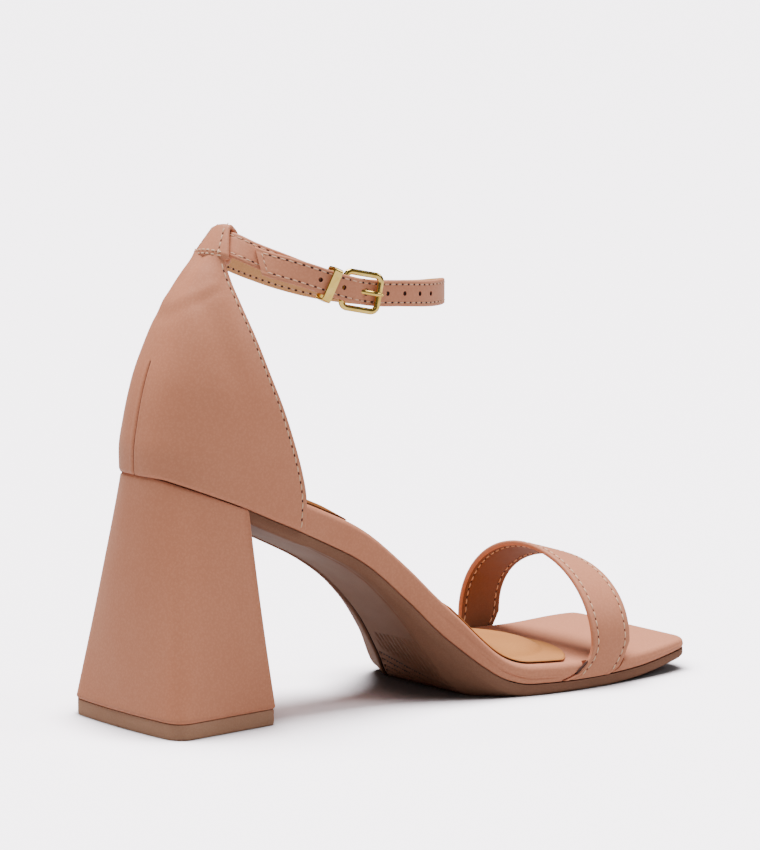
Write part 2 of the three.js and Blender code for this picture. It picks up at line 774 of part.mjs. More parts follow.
const padInset = footbedEdge + 0.4;
function ballPad() {
  const rings = [];
  const steps = 20;
  const across = 12;
  for (let step = 0; step <= steps; step += 1) {
    const angle = 0.12 + (step / steps) * (Math.PI - 0.24);
    const x = padCentre - padHalfLength * Math.cos(angle);
    const reach = (side) => Math.min(padHalfWidth * Math.sin(angle), halfAt(x, side) - padInset);
    const outer = reach('outside');
    const inner = reach('inside');
    const low = [];
    const high = [];
    for (let part = 0; part <= across; part += 1) {
      const share = (2 * part) / across - 1;
      const y = -share * (share > 0 ? outer : inner);
      const radius = Math.min(Math.hypot(Math.cos(angle), share * Math.sin(angle)), 1);
      const crown = THREE.MathUtils.smoothstep(1 - radius, 0.03, 0.3);
      const thickness = padRim + (padThickness - padRim) * crown;
      const base = footbedTop(x) + 1.4 * seatGap(x);
      low.push(new THREE.Vector3(x, y, base));
      high.push(new THREE.Vector3(x, y, base + thickness));
    }
    rings.push([...low, ...high.reverse()]);
  }
  return loft(rings);
}

// The buckle: its back bar lies in line with the strap's first lap, its front
// bar over the strap, and the prong comes up through the strap's hole.
const buckleTurn = (frontBarTurn + backBarTurn) / 2;
const barOut = (ankleStrapWall + buckleDepth) / 2 + 2.8 * clearance;

function roundedBox(length, height, corner) {
  const points = [];
  for (const [across, up, start] of [[1, 1, 0], [-1, 1, 1], [-1, -1, 2], [1, -1, 3]]) {
    for (let step = 0; step <= 4; step += 1) {
      const angle = (start + step / 4) * (Math.PI / 2);
      points.push(new THREE.Vector2(
        across * (length / 2 - corner) + corner * Math.cos(angle),
        up * (height / 2 - corner) + corner * Math.sin(angle),
      ));
    }
  }
  return points;
}

// An extruded outline whose points are set down by a function of the outline's
// two coordinates and the depth.
function placed(outline, hole, depth, place) {
  const shape = new THREE.Shape(outline);
  if (hole) {
    shape.holes.push(new THREE.Path(hole));
  }
  const geometry = new THREE.ExtrudeGeometry(shape, { depth, bevelEnabled: false });
  geometry.deleteAttribute('normal');
  geometry.deleteAttribute('uv');
  const merged = mergeVertices(geometry, 1e-5);
  const position = merged.getAttribute('position');
  for (let step = 0; step < position.count; step += 1) {
    const point = place(position.getX(step), position.getY(step), position.getZ(step));
    position.setXYZ(step, point.x, point.y, point.z);
  }
  return faceOut(merged);
}

const frameTilt = barOut / (buckleLength - buckleWire);
function onBuckle(forwards, upwards, depth) {
  const tilted = (forwards + (buckleLength - buckleWire) / 2) * frameTilt;
  return strapAxes(buckleTurn)(forwards, upwards, tilted + depth - 1.6 * clearance);
}

function buckleFrame() {
  const outer = roundedBox(buckleLength, buckleHeight, buckleCorner);
  const inner = roundedBox(
    buckleLength - 2 * buckleWire,
    buckleHeight - 2 * buckleWire,
    buckleInnerCorner,
  );
  return placed(outer, inner, buckleDepth, (x, y, z) => onBuckle(x, y, z - buckleDepth / 2));
}

// The prong runs from the back bar, up through the strap and over the front bar.
function prongBody(grow) {
  const back = -buckleLength / 2 + buckleWire + clearance - grow;
  const tip = buckleLength / 2 - buckleWire * 0.2 + grow;
  const half = prongWidth / 2 + grow;
  const low = -prongDepth / 2 - grow;
  const high = prongDepth / 2 + grow;
  const rest = (buckleDepth + prongDepth) / 2 + clearance;
  const outline = [
    new THREE.Vector2(back, low),
    new THREE.Vector2(0.5, low + rest * 0.75),
    new THREE.Vector2(buckleLength / 2 - buckleWire - 1.2, low + rest),
    new THREE.Vector2(tip, low + rest),
    new THREE.Vector2(tip, high + rest),
    new THREE.Vector2(buckleLength / 2 - buckleWire - 1.2, high + rest),
    new THREE.Vector2(0.5, high + rest * 0.75),
    new THREE.Vector2(back, high),
  ];
  return placed(outline, null, 2 * half, (x, y, z) => onBuckle(x, z - half, y));
}

function buckleProng() {
  return prongBody(0);
}

// The keeper rings both laps of the strap.
function keeper() {
  const axes = strapAxes(keeperTurn);
  const thick = 2 * layer + 2 * keeperGap - clearance;
  const sin = Math.sin(degrees(keeperTilt));
  const cos = Math.cos(degrees(keeperTilt));
  const high = ankleStrapWidth + keeperLength * sin + 2 * keeperGap;
  const hole = roundedBox(thick, high, keeperWall / 2);
  const outline = roundedBox(thick + 2 * keeperWall, high + 2 * keeperWall, keeperWall);
  const middle = layer / 2;
  return placed(outline, hole, keeperLength, (x, y, z) => {
    const forwards = z - keeperLength / 2;
    return axes(forwards * cos + y * sin, y * cos - forwards * sin - keeperDrop, x + middle);
  });
}

// Colours and finishes
const finishes = {
  leather: { color: 0xb98570, roughness: 0.62, metalness: 0 },
  sock: { color: 0xd0a47a, roughness: 0.7, metalness: 0 },
  rubber: { color: 0x7c5a49, roughness: 0.55, metalness: 0 },
  metal: { color: 0xd9bd6a, roughness: 0.25, metalness: 1 },
};

const pieces = [
  ['outsole', outsole(), 'rubber'],
  ['footbed', footbed(), 'leather'],
  ['ball_pad', ballPad(), 'sock'],
  ['heel_sock', heelSock(), 'sock'],
  ['heel_block', heelBlock(), 'leather'],
  ['heel_lift', heelLift(), 'rubber'],
  ['counter', counter(), 'leather'],
  ['vamp_strap', vampStrap(), 'leather'],
  ['ankle_strap', ankleStrap(), 'leather'],
  ['buckle_frame', buckleFrame(), 'metal'],
  ['buckle_prong', buckleProng(), 'metal'],
  ['keeper', keeper(), 'metal'],
];

const sandal = new THREE.Group();
sandal.name = 'block_heel_sandal';
for (const [name, geometry, finish] of pieces) {
  const mesh = new THREE.Mesh(geometry, new THREE.MeshStandardMaterial(finishes[finish]));
  mesh.name = name;
  sandal.add(mesh);
}

export default sandal;
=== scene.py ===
import math

import bmesh
import bpy
import numpy as np
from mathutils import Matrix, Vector


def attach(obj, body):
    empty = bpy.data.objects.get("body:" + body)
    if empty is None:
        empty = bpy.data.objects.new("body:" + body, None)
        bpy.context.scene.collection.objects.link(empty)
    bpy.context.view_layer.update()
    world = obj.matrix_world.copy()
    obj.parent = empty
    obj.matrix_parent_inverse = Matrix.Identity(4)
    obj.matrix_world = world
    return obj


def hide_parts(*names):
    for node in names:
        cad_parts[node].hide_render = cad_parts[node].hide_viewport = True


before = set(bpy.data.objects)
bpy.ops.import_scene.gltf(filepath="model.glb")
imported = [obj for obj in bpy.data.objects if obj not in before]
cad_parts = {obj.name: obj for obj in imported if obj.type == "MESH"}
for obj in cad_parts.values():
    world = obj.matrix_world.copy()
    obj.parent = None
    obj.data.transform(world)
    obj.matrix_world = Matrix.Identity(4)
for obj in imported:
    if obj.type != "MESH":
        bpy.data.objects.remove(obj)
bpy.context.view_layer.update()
MM = 0.001

# Sizes of the solids
CLEARANCE = 0.3
SHOE_LENGTH = 223.0
SEAT_BACK = -15.0
SEAT_HEIGHT = 90.0
SEAT_HALF_WIDTH = 26.4
SEAT_LENGTH = 50.5
SEAT_ROUNDNESS = 2.6
BALL_OUTSIDE = 42.3
BALL_INSIDE = 39.0
OUTSOLE_THICKNESS = 3.3
TREAD_THICKNESS = 4.2
TOE_SPRING = 4.2
FOOTBED_THICKNESS = 11.6
FOOTBED_EDGE = 2.6
HEEL_BREAST_TOP = 13.0
HEEL_FOOT_LENGTH = 47.0
HEEL_FOOT_REAR_HALF = 33.4
HEEL_FOOT_FRONT_HALF = 28.3
HEEL_FOOT_CORNER = 6.5
HEEL_FOOT_BOW = 1.2
HEEL_OVERLAP = 0.6
LIFT_THICKNESS = 5.6
COUNTER_WALL = 1.8
COUNTER_HEIGHT = 75.3
COUNTER_SIDE_CLIMB = 1.3
TAB_HALF_WIDTH = 6.0
TAB_WALL = 1.5
TAB_GAP = 0.7
TAB_INNER_DEPTH = 1.9
TAB_FLARE = 2.0
HEEL_SOCK_THICKNESS = 1.4
HEEL_SOCK_LENGTH = 63.0
PAD_THICKNESS = 2.6
PAD_RIM = 0.9
PAD_CENTRE = 126.0
PAD_HALF_LENGTH = 33.5
PAD_HALF_WIDTH = 46.0
VAMP_WALL = 2.0
VAMP_WIDTH = 19.0
VAMP_MIDDLE = 164.5
VAMP_REAR_RISE = 48.7
VAMP_FRONT_RISE = 43.0
VAMP_LEG_HEIGHT = 11.0
VAMP_SLIT = 1.7
ANKLE_HALF_LENGTH = 48.0
ANKLE_HALF_WIDTH = 26.0
TAB_FORWARD = 2.85
ANKLE_CLIMB = 78.5
ANKLE_DROP = 25.6
ANKLE_LEAN = math.radians(38)
STRAP_WIDTH = 9.5
STRAP_WALL = 1.5
BUCKLE_LENGTH = 15.8
BUCKLE_HEIGHT = 15.0
BUCKLE_WIRE = 2.2
BUCKLE_DEPTH = 1.5
BUCKLE_CORNER = 3.2
PRONG_WIDTH = 1.7
PRONG_DEPTH = 1.7
KEEPER_LENGTH = 4.2
KEEPER_SLIMMING = 0.82
KEEPER_WALL = 0.7
KEEPER_GAP = 0.65
KEEPER_DROP = 0.35
KEEPER_TILT = math.radians(7)
BUCKLE_FRONT_TURN = math.radians(87)
BUCKLE_BACK_TURN = math.radians(103)
KEEPER_TURN = math.radians(110.3)
TIP_TURN = math.radians(146)
TIP_SAG = 2.2

SEAT_END = SEAT_BACK + SEAT_LENGTH
TOE_TIP = SEAT_BACK + SHOE_LENGTH
COUNTER_OUT = 1.3 * CLEARANCE + COUNTER_WALL
LAP = STRAP_WALL + CLEARANCE


def table(columns, *rows):
    """A short table with named columns."""
    return {name: np.array([row[i] for row in rows], float) for i, name in enumerate(columns.split())}


UNDERSIDE = table(
    "along rise spring",
    (0.0, 0.99, 0), (0.034, 0.953, 0), (0.075, 0.909, 0), (0.125, 0.855, 0), (0.175, 0.796, 0),
    (0.226, 0.737, 0), (0.283, 0.668, 0), (0.34, 0.594, 0), (0.38, 0.524, 0), (0.442, 0.378, 0),
    (0.491, 0.247, 0), (0.525, 0.168, 0), (0.559, 0.094, 0), (0.593, 0.036, 0), (0.628, 0.006, 0),
    (0.665, 0, 0), (0.8, 0, 0), (0.88, 0, 0.2), (0.95, 0, 0.65), (1.0, 0, 1),
)
OUTLINE = table(
    "along seat outside inside",
    (0.0, 1, 0, 0), (0.227, 1, 0, 0), (0.27, 0.86, 0.075, 0.015), (0.337, 0.6, 0.227, 0.1),
    (0.404, 0.35, 0.395, 0.22), (0.455, 0.2, 0.54, 0.35), (0.505, 0.06, 0.7, 0.58),
    (0.538, 0, 0.805, 0.76), (0.57, 0, 0.865, 0.86), (0.605, 0, 0.917, 0.91),
    (0.655, 0, 0.976, 0.95), (0.717, 0, 1, 0.985), (0.785, 0, 0.985, 1), (0.852, 0, 0.94, 0.995),
    (0.919, 0, 0.875, 0.98), (0.964, 0, 0.815, 0.95), (0.984, 0, 0.775, 0.91),
    (0.994, 0, 0.72, 0.86), (1.0, 0, 0.6, 0.72),
)
DEPTH = table(
    "along footbed outer inner belly",
    (0.0, 0.72, 1, 0.65, 0), (0.1, 0.82, 1, 0.65, 0), (0.18, 0.93, 1, 0.65, 0.002),
    (0.25, 1.0, 1, 0.65, 0.004), (0.34, 1.06, 1.05, 0.65, 0.012), (0.44, 1.12, 1.1, 0.7, 0.035),
    (0.5, 1.1, 1.15, 1.0, 0.075), (0.529, 1.02, 1.15, 1.5, 0.1), (0.56, 0.87, 1.2, 2.5, 0.085),
    (0.58, 0.77, 1.2, 2.3, 0.05), (0.605, 0.68, 1.2, 1.65, 0.022), (0.635, 0.63, 1.2, 1.25, 0.003),
    (0.665, 0.61, 1.2, 1.2, 0), (0.75, 0.57, 1.2, 1.2, 0), (0.88, 0.46, 1.1, 1.1, 0),
    (1.0, 0.31, 0.95, 0.95, 0),
)
COUNTER = table(
    "up front back half round",
    (0.0, 1.01, 0.0, 1.0, 2.6), (0.127, 1.02, 0.0, 1.0, 2.6), (0.225, 0.985, 0.023, 0.99, 2.5),
    (0.342, 0.925, 0.059, 0.957, 2.4), (0.459, 0.855, 0.109, 0.913, 2.3),
    (0.566, 0.785, 0.172, 0.839, 2.2), (0.703, 0.71, 0.265, 0.698, 2.1),
    (0.82, 0.65, 0.36, 0.523, 2.0), (0.908, 0.62, 0.469, 0.356, 2.0),
    (0.976, 0.61, 0.57, 0.25, 2.0), (1.0, 0.607, 0.603, 0.24, 2.0),
)
ANKLE = table(
    "turn down",
    (-190, 0.000), (-180, 0.004), (-170, 0.043), (-160, 0.105), (-147, 0.168), (-130, 0.303),
    (-110, 0.514), (-95, 0.680), (-74, 0.871), (-50, 0.988), (-22, 1.000), (0, 0.949), (22, 0.896),
    (50, 0.855), (74, 0.785), (87, 0.748), (95, 0.705), (103, 0.639), (110, 0.568), (120, 0.453),
    (130, 0.332), (147, 0.158), (160, 0.039), (170, 0.000), (180, 0.004), (190, 0.043),
)
VAMP_LEG = table(
    "height rear front",
    (0.0, 0.72, 0.56), (0.16, 0.42, 0.34), (0.4, 0.22, 0.2), (0.7, 0.07, 0.09), (1.0, 0, 0),
)


def smooth_curve(rows, key, column):
    """The smooth curve through one column of a table, straight where it ends."""
    at, value = rows[key], rows[column]

    def read(place):
        place = np.clip(place, at[0], at[-1])
        right = np.clip(np.searchsorted(at, place, side="right"), 1, len(at) - 1)
        left = right - 1
        start, end = at[left], at[right]
        before = np.where(left > 0, left - 1, right)
        after = np.where(right < len(at) - 1, np.minimum(right + 1, len(at) - 1), left)
        pull_before = (end - start) / 2 / (start - at[before])
        pull_after = (end - start) / 2 / (at[after] - end)
        t = (place - start) / (end - start)
        return (
            (-pull_before * t**3 + 2 * pull_before * t**2 - pull_before * t) * value[before]
            + ((1 + pull_before) * t**3 + (-1.5 - 2 * pull_before) * t**2 + (-0.5 + pull_before) * t + 1)
            * value[left]
            + ((-1 - pull_after) * t**3 + (1.5 + pull_after) * t**2 + 0.5 * t) * value[right]
            + (pull_after * t**3 - pull_after * t**2) * value[after]
        )

    return read


rise_at = smooth_curve(UNDERSIDE, "along", "rise")
spring_at = smooth_curve(UNDERSIDE, "along", "spring")
seat_at = smooth_curve(OUTLINE, "along", "seat")
outside_at = smooth_curve(OUTLINE, "along", "outside")
inside_at = smooth_curve(OUTLINE, "along", "inside")
footbed_at = smooth_curve(DEPTH, "along", "footbed")
outer_wall_at = smooth_curve(DEPTH, "along", "outer")
inner_wall_at = smooth_curve(DEPTH, "along", "inner")
belly_at = smooth_curve(DEPTH, "along", "belly")
counter_front_at = smooth_curve(COUNTER, "up", "front")
counter_back_at = smooth_curve(COUNTER, "up", "back")
counter_half_at = smooth_curve(COUNTER, "up", "half")
counter_round_at = smooth_curve(COUNTER, "up", "round")
ankle_down_at = smooth_curve(ANKLE, "turn", "down")
leg_rear_at = smooth_curve(VAMP_LEG, "height", "rear")
leg_front_at = smooth_curve(VAMP_LEG, "height", "front")


def ease(value, low, high):
    """0 below low, 1 above high, and smooth between."""
    t = np.clip((value - low) / (high - low), 0, 1)
    return t * t * (3 - 2 * t)


def bump(value, middle, width):
    """A soft hump of height 1 round the middle."""
    return np.exp(-(((value - middle) / width) ** 2))


def edge_roll(reach, width):
    """Share of a round edge's fall, 1 at the edge and 0 once reach is past its width."""
    return 1 - np.sqrt(np.clip(1 - (np.clip(width - reach, 0, width) / width) ** 2, 0, 1))


def along(x):
    return (x - SEAT_BACK) / SHOE_LENGTH


def underside(x):
    share = along(x)
    return TREAD_THICKNESS + rise_at(share) * (SEAT_HEIGHT - TREAD_THICKNESS) + spring_at(share) * TOE_SPRING


def seat_gap(x):
    return CLEARANCE * np.hypot(1, underside(x + 0.5) - underside(x - 0.5))


def footbed_top(x):
    return underside(x) + footbed_at(along(x)) * FOOTBED_THICKNESS


def half_at(x, side):
    """Distance from the centre line to the footbed's edge; side is -1 outside, 1 inside."""
    share = along(x)
    reach = outside_at(share) * BALL_OUTSIDE if side < 0 else inside_at(share) * BALL_INSIDE
    front = seat_at(share) * SEAT_HALF_WIDTH + reach
    back = np.clip((SEAT_END - x) / SEAT_LENGTH, 0, 1)
    seat = SEAT_HALF_WIDTH * (1 - back**SEAT_ROUNDNESS) ** (1 / SEAT_ROUNDNESS)
    return np.where(x < SEAT_END, seat, front)


# Meshes

def grid_faces(rows, columns, closed):
    faces = []
    last = columns if closed else columns - 1
    for row in range(rows - 1):
        for column in range(last):
            a = row * columns + column
            b = row * columns + (column + 1) % columns
            faces.append((a, b, b + columns, a + columns))
    return faces


def ring_faces(rows, columns):
    """Faces of a grid that closes on itself both ways, as a tube bent into a ring."""
    faces = []
    for row in range(rows):
        for column in range(columns):
            after, beyond = (column + 1) % columns, (row + 1) % rows
            here, there = row * columns, beyond * columns
            faces.append((here + column, here + after, there + after, there + column))
    return faces


def plug_faces(first, sides):
    """Faces of a short round plug: a ring of points from first, and a second one over it."""
    faces = [
        tuple(first + sides + turn for turn in range(sides)),
        tuple(first + sides - 1 - turn for turn in range(sides)),
    ]
    for turn in range(sides):
        after = (turn + 1) % sides
        faces.append((first + turn, first + after, first + sides + after, first + sides + turn))
    return faces


def make_mesh(name, points, faces, materials, face_material=None, crease=50):
    mesh = bpy.data.meshes.new(name)
    mesh.from_pydata((np.asarray(points, float).reshape(-1, 3) * MM).tolist(), [], faces)
    for material in materials:
        mesh.materials.append(material)
    if face_material is not None:
        mesh.polygons.foreach_set("material_index", np.asarray(face_material, np.int32))
    clean = bmesh.new()
    clean.from_mesh(mesh)
    bmesh.ops.remove_doubles(clean, verts=clean.verts, dist=1e-6)
    bmesh.ops.dissolve_degenerate(clean, edges=clean.edges, dist=1e-6)
    bmesh.ops.recalc_face_normals(clean, faces=clean.faces)
    clean.to_mesh(mesh)
    clean.free()
    mesh.shade_smooth()
    mesh.set_sharp_from_angle(angle=math.radians(crease))
    made = bpy.data.objects.new(name, mesh)
    bpy.context.scene.collection.objects.link(made)
    return made


def loft(name, rings, materials, ring_material=None, crease=50):
    """One closed body through rings of points. ring_material gives the finish of
    each face round the ring; each end is closed by zipping its halves."""
    rings = np.asarray(rings, float)
    rows, columns = rings.shape[:2]
    faces = grid_faces(rows, columns, True)
    kinds = None
    if ring_material is not None:
        kinds = list(np.tile(ring_material, rows - 1))
    for row, flip in ((0, False), (rows - 1, True)):
        first = row * columns
        for place in range((columns - 1) // 2):
            far = columns - 2 - place
            corners = [place, place + 1, far, far + 1] if far > place + 1 else [place, far, far + 1]
            face = [first + corner for corner in corners]
            faces.append(tuple(reversed(face)) if flip else tuple(face))
            if kinds is not None:
                kinds.append(ring_material[0])
    return make_mesh(name, rings, faces, materials, kinds, crease)


def grid_normals(points):
    """Unit normals of a grid of points, rows by columns."""
    down = np.gradient(points, axis=0)
    across = np.gradient(points, axis=1)
    normal = np.cross(down, across)
    return normal / np.maximum(np.linalg.norm(normal, axis=2, keepdims=True), 1e-9)


def dress(made, slot, *nodes):
    """Ties a piece to the part: its body and the solids it stands for; slot is not used."""
    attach(made, "root")
    if nodes:
        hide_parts(*nodes)
    return made


def spaced(points, step):
    """Points at even steps along a line, with the side vectors carried along."""
    points = [np.asarray(part, float) for part in points]
    run = np.concatenate([[0], np.cumsum(np.linalg.norm(np.diff(points[0], axis=0), axis=1))])
    count = max(int(round(run[-1] / step)), 1)
    at = (np.arange(count) + 0.5) * run[-1] / count
    return [np.stack([np.interp(at, run, part[:, axis]) for axis in range(3)], axis=1) for part in points]


BEAD_SIDES = 8
STITCH_ARCH = 0.3
STITCH_HEIGHT = 0.36
STITCH_SINK = 0.06
HOLE_FLOOR = -0.12
HOLE_FACE = 0.06
STITCH_RINGS = ((-0.5, 0.0), (-0.42, 0.62), (-0.22, 0.96), (0.0, 1.0), (0.22, 0.96), (0.42, 0.62), (0.5, 0.0))


def stitch_row(rows, line, normals, step, length, width, slant=0.0):
    """Adds the stitches of one seam to rows. line and normals follow the surface."""
    at, normal = spaced([line, normals], step)
    ahead = np.gradient(at, axis=0)
    ahead /= np.linalg.norm(ahead, axis=1, keepdims=True)
    normal /= np.linalg.norm(normal, axis=1, keepdims=True)
    side = np.cross(normal, ahead)
    rows.append((at, ahead + slant * side, side, normal, length, width, STITCH_SINK))


def thread(name, rows, material, slot):
    """All stitches of one piece as small plump beads of thread."""
    points, faces = [], []
    around = BEAD_SIDES
    for at, ahead, side, normal, length, width, sink in rows:
        for place in range(len(at)):
            first = len(points)
            for share, fat in STITCH_RINGS:
                middle = at[place] + ahead[place] * share * length
                arch = STITCH_ARCH * width * (1 - (2 * share) ** 2)
                middle = middle + normal[place] * (arch - sink)
                for turn in range(around):
                    angle = 2 * math.pi * turn / around
                    points.append(
                        middle
                        + side[place] * math.cos(angle) * fat * width / 2
                        + normal[place] * math.sin(angle) * fat * width * STITCH_HEIGHT
                    )
            rings = len(STITCH_RINGS)
            for face in grid_faces(rings, around, True):
                faces.append(tuple(first + corner for corner in face))
    made = make_mesh(name, points, faces, [material], crease=180)
    return dress(made, slot)


def hole_shade_discs(name, rows, material, slot, radius):
    """Painted shade of the needle holes between the stitches: thin dark discs just above the leather."""
    points, faces = [], []
    for at, ahead, side, normal, length, width, sink in rows:
        between = (at[1:] + at[:-1]) / 2
        for place in range(len(between)):
            first = len(points)
            for lift in (HOLE_FLOOR, HOLE_FACE):
                for turn in range(BEAD_SIDES):
                    angle = 2 * math.pi * turn / BEAD_SIDES
                    points.append(
                        between[place]
                        + normal[place] * lift
                        + ahead[place] * math.cos(angle) * radius * 1.15
                        + side[place] * math.sin(angle) * radius * 0.8
                    )
            faces += plug_faces(first, BEAD_SIDES)
    made = make_mesh(name, points, faces, [material], crease=30)
    return dress(made, slot)


# Seams: step from stitch to stitch, length and thickness of the thread
COUNTER_SEAM = (3.3, 2.4, 0.6)
TUNNEL_SEAM = (2.9, 2.0, 0.55)
CROSS_SEAM = (2.5, 1.9, 0.6)
VAMP_SEAM = (3.3, 2.4, 0.58)
STRAP_SEAM = (3.15, 2.3, 0.5)
STRAP_END_SEAM = (2.5, 1.7, 0.5)


# Materials

def new_group(name, inputs, outputs):
    group = bpy.data.node_groups.new(name, "ShaderNodeTree")
    for label, kind, value in inputs:
        socket = group.interface.new_socket(name=label, in_out="INPUT", socket_type=kind)
        socket.default_value = value
    for label, kind in outputs:
        group.interface.new_socket(name=label, in_out="OUTPUT", socket_type=kind)
    nodes = group.nodes
    return group, nodes.new("NodeGroupInput"), nodes.new("NodeGroupOutput")


def node(tree, kind, values=None, **settings):
    made = tree.nodes.new(kind)
    for key, value in settings.items():
        setattr(made, key, value)
    for key, value in (values or {}).items():
        made.inputs[key].default_value = value
    return made


def own_millimetres(group):
    """The piece's own coordinates, in millimetres."""
    place = node(group, "ShaderNodeTexCoord")
    scaled = node(group, "ShaderNodeVectorMath", {1: (1000, 1000, 1000)}, operation="MULTIPLY")
    group.links.new(place.outputs["Object"], scaled.inputs[0])
    return scaled.outputs[0]


def leather_grain():
    """Pores and fine wrinkles: a height, and a mask of the pores."""
    group, enter, leave = new_group(
        "leather_grain",
        [("Pore size", "NodeSocketFloat", 0.9), ("Wrinkle size", "NodeSocketFloat", 7.0)],
        [("Height", "NodeSocketFloat"), ("Pores", "NodeSocketFloat")],
    )
    link = group.links.new
    millimetres = own_millimetres(group)
    warp = node(group, "ShaderNodeTexNoise", {"Scale": 0.6, "Detail": 2.0})
    link(millimetres, warp.inputs["Vector"])
    bent = node(group, "ShaderNodeVectorMath", operation="ADD")
    link(millimetres, bent.inputs[0])
    link(warp.outputs["Color"], bent.inputs[1])
    per_pore = node(group, "ShaderNodeMath", {0: 1.0}, operation="DIVIDE")
    link(enter.outputs["Pore size"], per_pore.inputs[1])
    cells = node(group, "ShaderNodeTexVoronoi", feature="SMOOTH_F1")
    cells.inputs["Smoothness"].default_value = 0.6
    link(bent.outputs[0], cells.inputs["Vector"])
    link(per_pore.outputs[0], cells.inputs["Scale"])
    fine = node(group, "ShaderNodeTexNoise", {"Scale": 3.2, "Detail": 4.0, "Roughness": 0.62})
    link(millimetres, fine.inputs["Vector"])
    per_wrinkle = node(group, "ShaderNodeMath", {0: 1.0}, operation="DIVIDE")
    link(enter.outputs["Wrinkle size"], per_wrinkle.inputs[1])
    wrinkle = node(group, "ShaderNodeTexNoise", {"Detail": 5.0, "Roughness": 0.55, "Distortion": 0.8})
    link(bent.outputs[0], wrinkle.inputs["Vector"])
    link(per_wrinkle.outputs[0], wrinkle.inputs["Scale"])
    first = node(group, "ShaderNodeMath", {1: 0.55}, operation="MULTIPLY")
    link(cells.outputs["Distance"], first.inputs[0])
    second = node(group, "ShaderNodeMath", {1: 0.35}, operation="MULTIPLY_ADD")
    link(fine.outputs["Fac"], second.inputs[0])
    link(first.outputs[0], second.inputs[2])
    third = node(group, "ShaderNodeMath", {1: 0.8}, operation="MULTIPLY_ADD")
    link(wrinkle.outputs["Fac"], third.inputs[0])
    link(second.outputs[0], third.inputs[2])
    link(third.outputs[0], leave.inputs["Height"])
    pores = node(group, "ShaderNodeMapRange", {"From Min": 0.18, "From Max": 0.6})
    link(cells.outputs["Distance"], pores.inputs["Value"])
    link(pores.outputs["Result"], leave.inputs["Pores"])
    return group


def soft_clouds():
    """Broad cloudy changes of tone, between two colours."""
    group, enter, leave = new_group(
        "soft_clouds",
        [
            ("Colour", "NodeSocketColor", (0.5, 0.3, 0.2, 1)),
            ("Deeper", "NodeSocketColor", (0.4, 0.2, 0.1, 1)),
            ("Cloud size", "NodeSocketFloat", 34.0),
        ],
        [("Colour", "NodeSocketColor"), ("Mask", "NodeSocketFloat")],
    )
    link = group.links.new
    millimetres = own_millimetres(group)
    share = node(group, "ShaderNodeMath", {0: 1.0}, operation="DIVIDE")
    link(enter.outputs["Cloud size"], share.inputs[1])
    cloud = node(group, "ShaderNodeTexNoise", {"Detail": 3.0, "Roughness": 0.5})
    link(millimetres, cloud.inputs["Vector"])
    link(share.outputs[0], cloud.inputs["Scale"])
    stretch = node(group, "ShaderNodeMapRange", {"From Min": 0.3, "From Max": 0.7})
    link(cloud.outputs["Fac"], stretch.inputs["Value"])
    mix = node(group, "ShaderNodeMix", data_type="RGBA")
    link(stretch.outputs["Result"], mix.inputs["Factor"])
    link(enter.outputs["Colour"], mix.inputs["A"])
    link(enter.outputs["Deeper"], mix.inputs["B"])
    link(mix.outputs["Result"], leave.inputs["Colour"])
    link(stretch.outputs["Result"], leave.inputs["Mask"])
    return group


GRAIN = leather_grain()
CLOUDS = soft_clouds()


def srgb(red, green, blue):
    """A screen colour from 0 to 255 as the linear colour that shaders take."""
    linear = [((c / 255 + 0.055) / 1.055) ** 2.4 if c > 10 else c / 255 / 12.92 for c in (red, green, blue)]
    return (*linear, 1)


def new_material(name):
    material = bpy.data.materials.new(name)
    material.use_nodes = True
    material.node_tree.nodes.clear()
    shader = material.node_tree.nodes.new("ShaderNodeBsdfPrincipled")
    leave = material.node_tree.nodes.new("ShaderNodeOutputMaterial")
    material.node_tree.links.new(shader.outputs["BSDF"], leave.inputs["Surface"])
    return material, material.node_tree, shader


def grained(name, colour, deeper, rough, pore=0.9, depth=0.05, coat=0.0, shine=0.16):
    """Leather or lining with pores, soft clouds of tone and uneven gloss."""
    material, tree, shader = new_material(name)
    link = tree.links.new
    clouds = node(tree, "ShaderNodeGroup", node_tree=CLOUDS)
    clouds.inputs["Colour"].default_value = colour
    clouds.inputs["Deeper"].default_value = deeper
    grain = node(tree, "ShaderNodeGroup", node_tree=GRAIN)
    grain.inputs["Pore size"].default_value = pore
    pores = node(tree, "ShaderNodeMix", data_type="RGBA", blend_type="MULTIPLY")
    pores.inputs["B"].default_value = (0.93, 0.9, 0.88, 1)
    link(grain.outputs["Pores"], pores.inputs["Factor"])
    link(clouds.outputs["Colour"], pores.inputs["A"])
    link(pores.outputs["Result"], shader.inputs["Base Color"])
    uneven = node(tree, "ShaderNodeMapRange", {"To Min": rough - 0.05, "To Max": rough + 0.06})
    link(clouds.outputs["Mask"], uneven.inputs["Value"])
    link(uneven.outputs["Result"], shader.inputs["Roughness"])
    relief = node(tree, "ShaderNodeBump", {"Strength": 0.55, "Distance": depth * MM})
    link(grain.outputs["Height"], relief.inputs["Height"])
    link(relief.outputs["Normal"], shader.inputs["Normal"])
    shader.inputs["Coat Weight"].default_value = coat
    shader.inputs["Coat Roughness"].default_value = 0.35
    shader.inputs["Specular IOR Level"].default_value = shine
    return material


